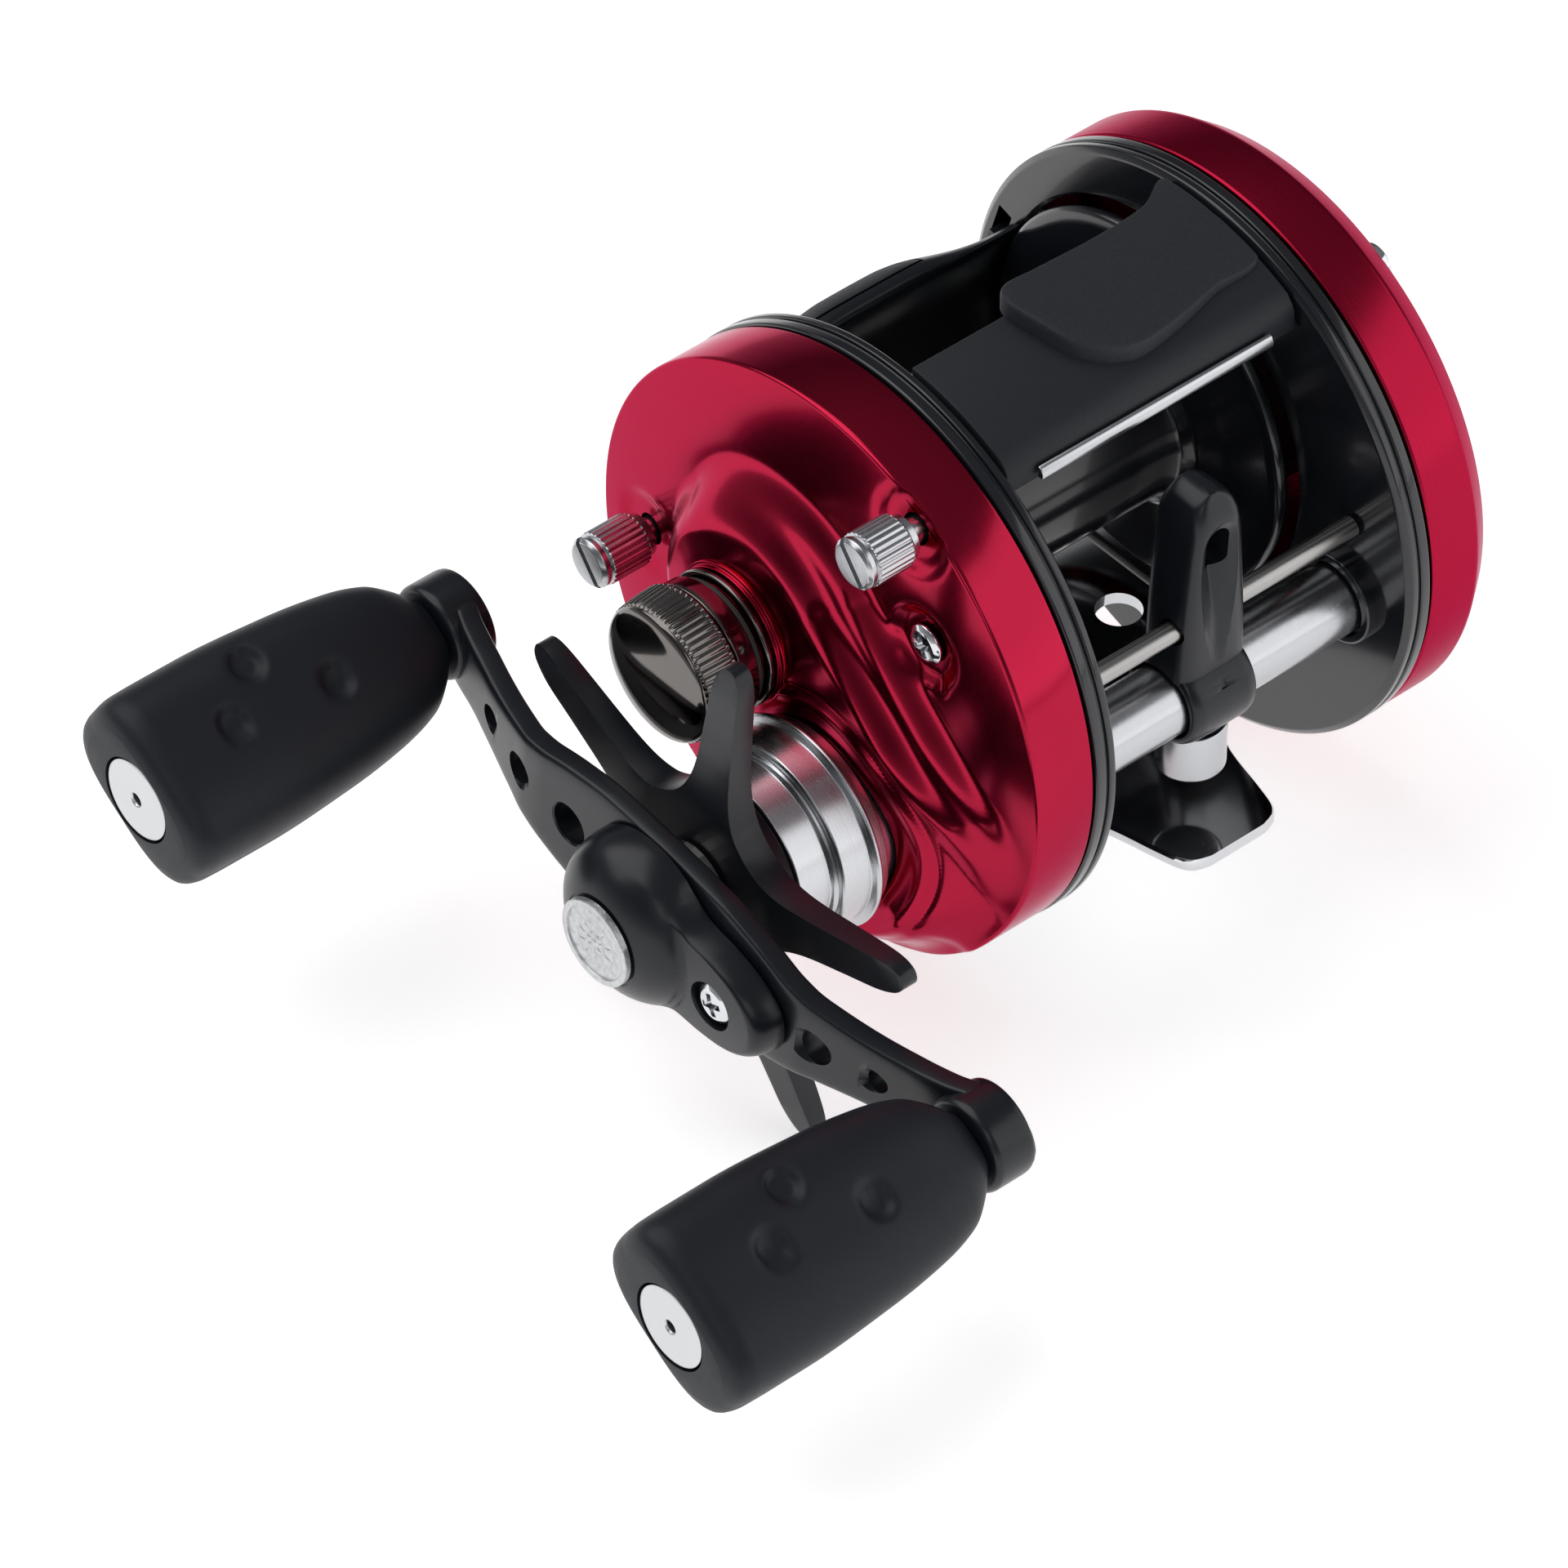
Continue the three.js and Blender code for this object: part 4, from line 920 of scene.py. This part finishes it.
def star_drag():
    arm = [(r, -w) for r, w in ARM_HALF] + [(r, w) for r, w in reversed(ARM_HALF)]
    outline = []
    for k in range(5):
        turn = math.radians(12 + 72 * k)
        c, s = math.cos(turn), math.sin(turn)
        outline += [(DRIVE[0] + r * c - w * s, DRIVE[1] + r * s + w * c) for r, w in arm]
    star = extruded("star_fine", rounded_loop(outline, 520), 40.7, 45)
    dome = turned("dome", [
        (40.0, 0), (40.0, 9), (40.5, 14), (40.7, 26), (41.7, 26), (42.3, 25), (42.7, 22), (42.9, 18),
        (43.2, 13), (43.6, 9), (43.6, 0),
    ], DRIVE, 0.8, steps=180)
    boolean(star, "INTERSECT", dome)
    hub = turned("hub", [(39.4, 0), (39.4, 8.2), (41.5, 8.5), (43.6, 8.2), (43.6, 0)], DRIVE, 0.3)
    weld(star, hub)
    bevelled(star, 0.85, 5)
    carve(star, hole(DRIVE, 39, 45, 2.95))
    place(star, "star", "black_satin", "black_satin", "star_drag")


# ---- knobs --------------------------------------------------------------------------------

# Half length and half thickness of a knob's section by distance from its outer end.
KNOB_LENGTHS = [
    (0, 6.6), (0.35, 7.6), (1.0, 8.25), (2.4, 8.55), (5, 8.6), (9, 8.6), (18, 8.1), (24, 7.35),
    (27.5, 6.4), (29.6, 4.9), (31.2, 3.2),
]
KNOB_DEPTHS = [
    (0, 4.2), (0.35, 5.0), (1.0, 5.6), (2.4, 5.95), (5, 6.0), (9, 6.0), (18, 5.8), (24, 5.35),
    (27.5, 4.8), (29.6, 4.1), (31.2, 3.2),
]
KNOB_DIMPLES = [(12.9, -4.7), (19.2, 0.25), (8.8, -0.8)]


def knob(name, s, body, node, cap_node, post_node):
    y, z = on_handle(s)
    axis_point = np.array([0, y, z])
    wide, deep = squarish(160, 0.66)
    depths = np.concatenate([[0, 0.05, 0.15, 0.3, 0.5, 0.75], np.linspace(1.1, 31.2, 130)])
    rings = []
    for depth in depths:
        u = wide * float(smooth_through(KNOB_LENGTHS, depth))
        v = deep * float(smooth_through(KNOB_DEPTHS, depth))
        for along, offset in KNOB_DIMPLES:
            near = np.hypot(depth - along, u - offset)
            v = v - np.where(v > 0, 0.75 / (1 + np.exp((near - 1.45) / 0.16)), 0)
        seam = 1 - 0.006 * np.exp(-((v / 0.18) ** 2))
        u = u * seam
        middle = axis_point + np.array([KNOB_END - depth, 0, 0])
        rings.append(middle + u[:, None] * KNOB_LONG + v[:, None] * KNOB_FLAT)
    grip = ringed(name, rings)
    carve(grip, hole((y, z), 44, 74.7, 2.35), hole((y, z), 75.2, 77, 4.1))
    place(grip, body, "rubber", "rubber", node)
    cap = turned(name + "_cap", [
        (75.5, 0.6), (75.5, 3.86), (76.0, 3.86), (76.1, 3.6), (76.1, 0.75), (75.9, 0.6),
    ], (y, z), 0.08)
    place(cap, body, "aluminium", "aluminium", cap_node)
    post = turned(name + "_post", [
        (40.6, 0), (40.6, 1.9), (74.8, 1.9), (74.8, 0),
    ], (y, z), 0.2, steps=64)
    place(post, "crank", "steel", "steel", post_node)


# ---- line guide ---------------------------------------------------------------------------

# The guide's middle, the axis of its pawl as (x, y), and its half width by height.
GUIDE_X = 0.8
PAWL = (0.2, 19.4)
GUIDE_HALF = [
    (-4, 3.9), (0, 3.85), (5, 3.7), (10, 3.35), (14, 3.0), (16.5, 2.6), (18, 2.0), (18.7, 1.3), (19, 0.6),
]


def line_guide():
    wide, deep = squarish(96, 0.45)
    rings = []
    for height in np.concatenate([np.linspace(-4, 16, 60), np.linspace(16.3, 19, 24)]):
        half = float(smooth_through(GUIDE_HALF, height))
        depth = 2.9 - 1.1 * max(0, (height - 15.5) / 3.5) ** 2
        rings.append(np.stack([GUIDE_X + wide * half, 20 + deep * depth, np.full(96, height)], 1))
    guide = ringed("line_guide_fine", rings)
    sleeve = turned("sleeve", [
        (GUIDE_X - 3.6, 0), (GUIDE_X - 3.6, 4.2), (GUIDE_X - 2.6, 4.5), (GUIDE_X + 2.6, 4.5),
        (GUIDE_X + 3.6, 4.2), (GUIDE_X + 3.6, 0),
    ], WORM, 0.4, steps=96)
    weld(guide, sleeve, extruded("housing", circle(PAWL, 2.9), -8.0, -4, "z"))
    eye = arc((GUIDE_X, 14.1), 1.3, 0, 180, 16) + arc((GUIDE_X, 11.9), 1.3, 180, 360, 16)
    funnel = rounded_loop([
        (GUIDE_X, 0.6), (GUIDE_X + 1.3, 4), (GUIDE_X + 2.1, 9), (GUIDE_X + 2.1, 13), (GUIDE_X + 1.6, 15.4),
        (GUIDE_X, 16.4), (GUIDE_X - 1.6, 15.4), (GUIDE_X - 2.1, 13), (GUIDE_X - 2.1, 9), (GUIDE_X - 1.3, 4),
    ], 120)
    middle = np.array([GUIDE_X, 13.0])
    rings = []
    for y, share in ((24.0, 1.2), (22.9, 1.0), (22.6, 0.85), (22.35, 0.62), (21.8, 0.4), (21.0, 0.1)):
        flat = middle + (funnel - middle) * share
        rings.append(np.stack([flat[:, 0], np.full(120, y), flat[:, 1]], 1))
    carve(
        guide,
        ringed("cutter", rings),
        extruded("cutter", eye, 15, 25, "y"),
        hole(WORM, GUIDE_X - 4, GUIDE_X + 4, 3.65),
        hole(ROD, GUIDE_X - 4, GUIDE_X + 4, 1.3),
        extruded("cutter", circle(PAWL, 1.3), -9, -5, "z"),
    )
    place(guide, "carriage", "black_satin", "black_satin", "line_guide")
    profile = filleted([
        (-12.4, 1.35), (-8.3, 1.35), (-8.3, 3.1), (-13.1, 3.1), (-13.3, 2.8), (-13.3, 0),
    ], 0.15)
    rings = [[(*point, height) for point in circle(PAWL, r, 96)] for height, r in profile[:-1]]
    cap = ringed("pawl_cap_fine", rings)
    place(cap, "carriage", "satin_chrome", "chrome", "pawl_cap")


# ---- spool --------------------------------------------------------------------------------

def spool():
    half = [
        (14.4, 1.6), (14.4, 7), (15.0, 10.5), (15.4, 16.4), (15.9, 17.2), (15.95, 17.9), (15.6, 18.1),
        (15.0, 18.1), (14.7, 17.8), (14.5, 17.0), (13.9, 12), (13.4, 9.2), (12.4, 8.1), (11.4, 8.0),
    ]
    profile = half + [(-x, r) for x, r in reversed(half)]
    body = turned("spool_fine", profile, SPOOL, 0.3, steps=200)
    place(body, "spool_unit", "black_gloss", "black_gloss", "spool")


# ---- thumb bar ----------------------------------------------------------------------------

# The thumb bar's section at its ends and at its middle, and how the middle fades out along x.
BAR_END = [
    (-21.5, 10.7), (-22.4, 10.7), (-24.2, 8.3), (-26.4, 5.2), (-26.75, 3.0), (-26.2, -0.5),
    (-24.8, -1.8), (-23.5, -1.5), (-23.2, 2.4), (-22.75, 6.4),
]
BAR_HUMP = [
    (-21.5, 10.8), (-22.9, 11.9), (-25.4, 10.6), (-27.4, 8.1), (-27.75, 6.0), (-26.9, 0.9),
    (-24.9, -1.8), (-23.5, -1.5), (-23.2, 2.4), (-22.75, 6.4),
]
BAR_RISE = [
    (0, 1), (2.8, 0.99), (4.6, 0.93), (6.4, 0.79), (8.2, 0.58), (10.1, 0.34), (11.9, 0.14), (13.4, 0.02),
    (16.2, 0),
]


def bar_blank(name):
    low, high = rounded_loop(BAR_END, 90), rounded_loop(BAR_HUMP, 90)
    rings = []
    for x in np.concatenate([[-16.2, -16.15], np.linspace(-16, 16, 90), [16.15, 16.2]]):
        rise = float(smooth_through(BAR_RISE, min(abs(x), 16.2)))
        section = low + (high - low) * rise
        if abs(x) > 16.1:
            middle = section.mean(0)
            section = middle + (section - middle) * (0.93 if abs(x) > 16.17 else 0.97)
        rings.append(np.column_stack([np.full(90, x), section]))
    return ringed(name, rings)


def pad_zone(shrink, name):
    half = 6.4 - shrink
    outline = [
        (-22.2 - shrink, 13), (-30, 13), (-30, 5.0 + shrink), (-26.4 - shrink, 5.0 + shrink),
        (-24.7 - shrink, 8.3),
    ]
    return extruded(name, outline, -half, half)


def thumb_bar():
    bar = bar_blank("thumb_bar_fine")
    tongue = [(-24.0, 8.2), (-25.05, 8.55), (-25.6, 6.75), (-24.6, 6.45)]
    weld(bar, extruded("tongue", tongue, 15.8, 18.6), extruded("tongue", tongue, -18.6, -15.8))
    carve(bar, pad_zone(0, "cutter"))
    place(bar, "clutch_bar", "black_satin", "black_satin", "thumb_bar")
    pad = boolean(bar_blank("thumb_bar_pad_fine"), "INTERSECT", pad_zone(0.25, "zone"))
    place(bevelled(pad, 0.2), "clutch_bar", "pad", "rubber", "thumb_bar_pad")


# ---- everything ---------------------------------------------------------------------------

def dress_frame():
    """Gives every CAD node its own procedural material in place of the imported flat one."""
    slots = {part["node"]: part["material_slot"] for part in frame["record"]["subparts"]}
    for name, node in frame["nodes"].items():
        for socket in node.material_slots:
            socket.material = LOOKS[slots[name]].material


def build():
    dress_frame()
    handle_cup()
    palm_cup()
    frame_ring(1, "ring_handle_fine", "frame_ring_handle", [TOP_SCREW])
    frame_ring(-1, "ring_palm_fine", "frame_ring_palm", PALM_SCREWS)
    thumb_rest()
    reel_foot()
    level_wind()
    rear_pillar()
    cross_screw("cup_screw_fine", CUP_SCREW, 26.6, 25.9, 21.3, 1.9, 1.0, "frame", "cup_screw")
    for axis, node in zip(PALM_SCREWS, ("palm_screw_top", "palm_screw_rear", "palm_screw_low")):
        cross_screw(node + "_fine", axis, -28.0, -26.8, -17.5, 2.0, 1.1, "frame", node)
    cross_screw("cover_screw_fine", on_handle(11), 51.6, 50.9, 46.5, 1.95, 0.85, "crank", "cover_screw")
    thumbscrew("rear_thumbscrew_fine", REAR_SCREW, 26.9, 33.0, "rear_screw", "rear_thumbscrew")
    thumbscrew("top_thumbscrew_fine", TOP_SCREW, 26.5, 32.3, "top_screw", "top_thumbscrew")
    cast_cap()
    drive_sleeve()
    handle_plate()
    nut_cover()
    medallion()
    star_drag()
    knob("left_knob_fine", -KNOB_S, "left_grip", "left_knob", "left_knob_cap", "left_knob_post")
    knob("right_knob_fine", KNOB_S, "right_grip", "right_knob", "right_knob_cap", "right_knob_post")
    line_guide()
    spool()
    thumb_bar()


# ---- studio -------------------------------------------------------------------------------

def floor():
    mesh = bpy.data.meshes.new("floor")
    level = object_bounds()[0].z - FLOOR_DROP
    corners = [(x * FLOOR_HALF, y * FLOOR_HALF, level) for x, y in ((-1, -1), (1, -1), (1, 1), (-1, 1))]
    mesh.from_pydata(corners, [], [(0, 1, 2, 3)])
    ground = bpy.data.objects.new("floor", mesh)
    bpy.context.collection.objects.link(ground)
    look = Look("pale_floor", (0.93, 0.93, 0.93), 0.9)
    look.shader.inputs["Specular IOR Level"].default_value = 0.0
    look.shader.inputs["Emission Color"].default_value = (1, 1, 1, 1)
    look.shader.inputs["Emission Strength"].default_value = FLOOR_GLOW
    look.vary_roughness(look.noise(20), 0.05)
    mesh.materials.append(look.material)
    ground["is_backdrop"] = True


def area_light(name, place_mm, aim_mm, size, power):
    data = bpy.data.lights.new(name, "AREA")
    data.shape = "RECTANGLE"
    data.size, data.size_y = size
    data.energy = power
    lamp = bpy.data.objects.new(name, data)
    bpy.context.collection.objects.link(lamp)
    lamp.location = Vector(place_mm) * MM
    lamp.rotation_mode = "QUATERNION"
    lamp.rotation_quaternion = (Vector(aim_mm) - Vector(place_mm)).to_track_quat("-Z", "Y")


def studio():
    world = bpy.data.worlds.new("studio")
    bpy.context.scene.world = world
    world.use_nodes = True
    nodes, links = world.node_tree.nodes, world.node_tree.links
    background = nodes["Background"]
    direction = nodes.new("ShaderNodeTexCoord").outputs["Generated"]
    split = nodes.new("ShaderNodeSeparateXYZ")
    links.new(direction, split.inputs[0])
    ramp = nodes.new("ShaderNodeValToRGB")
    low, high = ramp.color_ramp.elements
    low.color = (0.55, 0.55, 0.56, 1)
    high.color = (0.30, 0.30, 0.31, 1)
    ramp.color_ramp.elements.new(0.35).color = (0.10, 0.10, 0.11, 1)
    links.new(split.outputs["Z"], ramp.inputs["Fac"])
    links.new(ramp.outputs["Color"], background.inputs["Color"])
    background.inputs["Strength"].default_value = 0.8
    area_light("key", (250, -350, 620), (10, 0, 10), (0.8, 0.8), 3.6)
    area_light("fill", (-420, 520, 300), (0, 0, 0), (0.8, 0.6), 1.9)
    area_light("front", (520, 550, 500), (20, 0, 0), (0.4, 0.4), 0.6)


def camera():
    data = bpy.data.cameras.new("camera")
    data.sensor_width = CAMERA_SENSOR
    data.lens = CAMERA_LENS
    data.clip_end = 20
    view = bpy.data.objects.new("camera", data)
    bpy.context.collection.objects.link(view)
    right = Vector(CAMERA_RIGHT).normalized()
    back = Vector(CAMERA_BACK).normalized()
    up = back.cross(right).normalized()
    right = up.cross(back).normalized()
    view.rotation_mode = "QUATERNION"
    view.rotation_quaternion = Matrix((right, up, back)).transposed().to_quaternion()
    view.location = (Vector(CAMERA_PLACE) + Vector(SHIFT.tolist())) * MM
    bpy.context.scene.camera = view


build()
floor()
studio()
camera()
bpy.context.scene.view_settings.view_transform = "Standard"
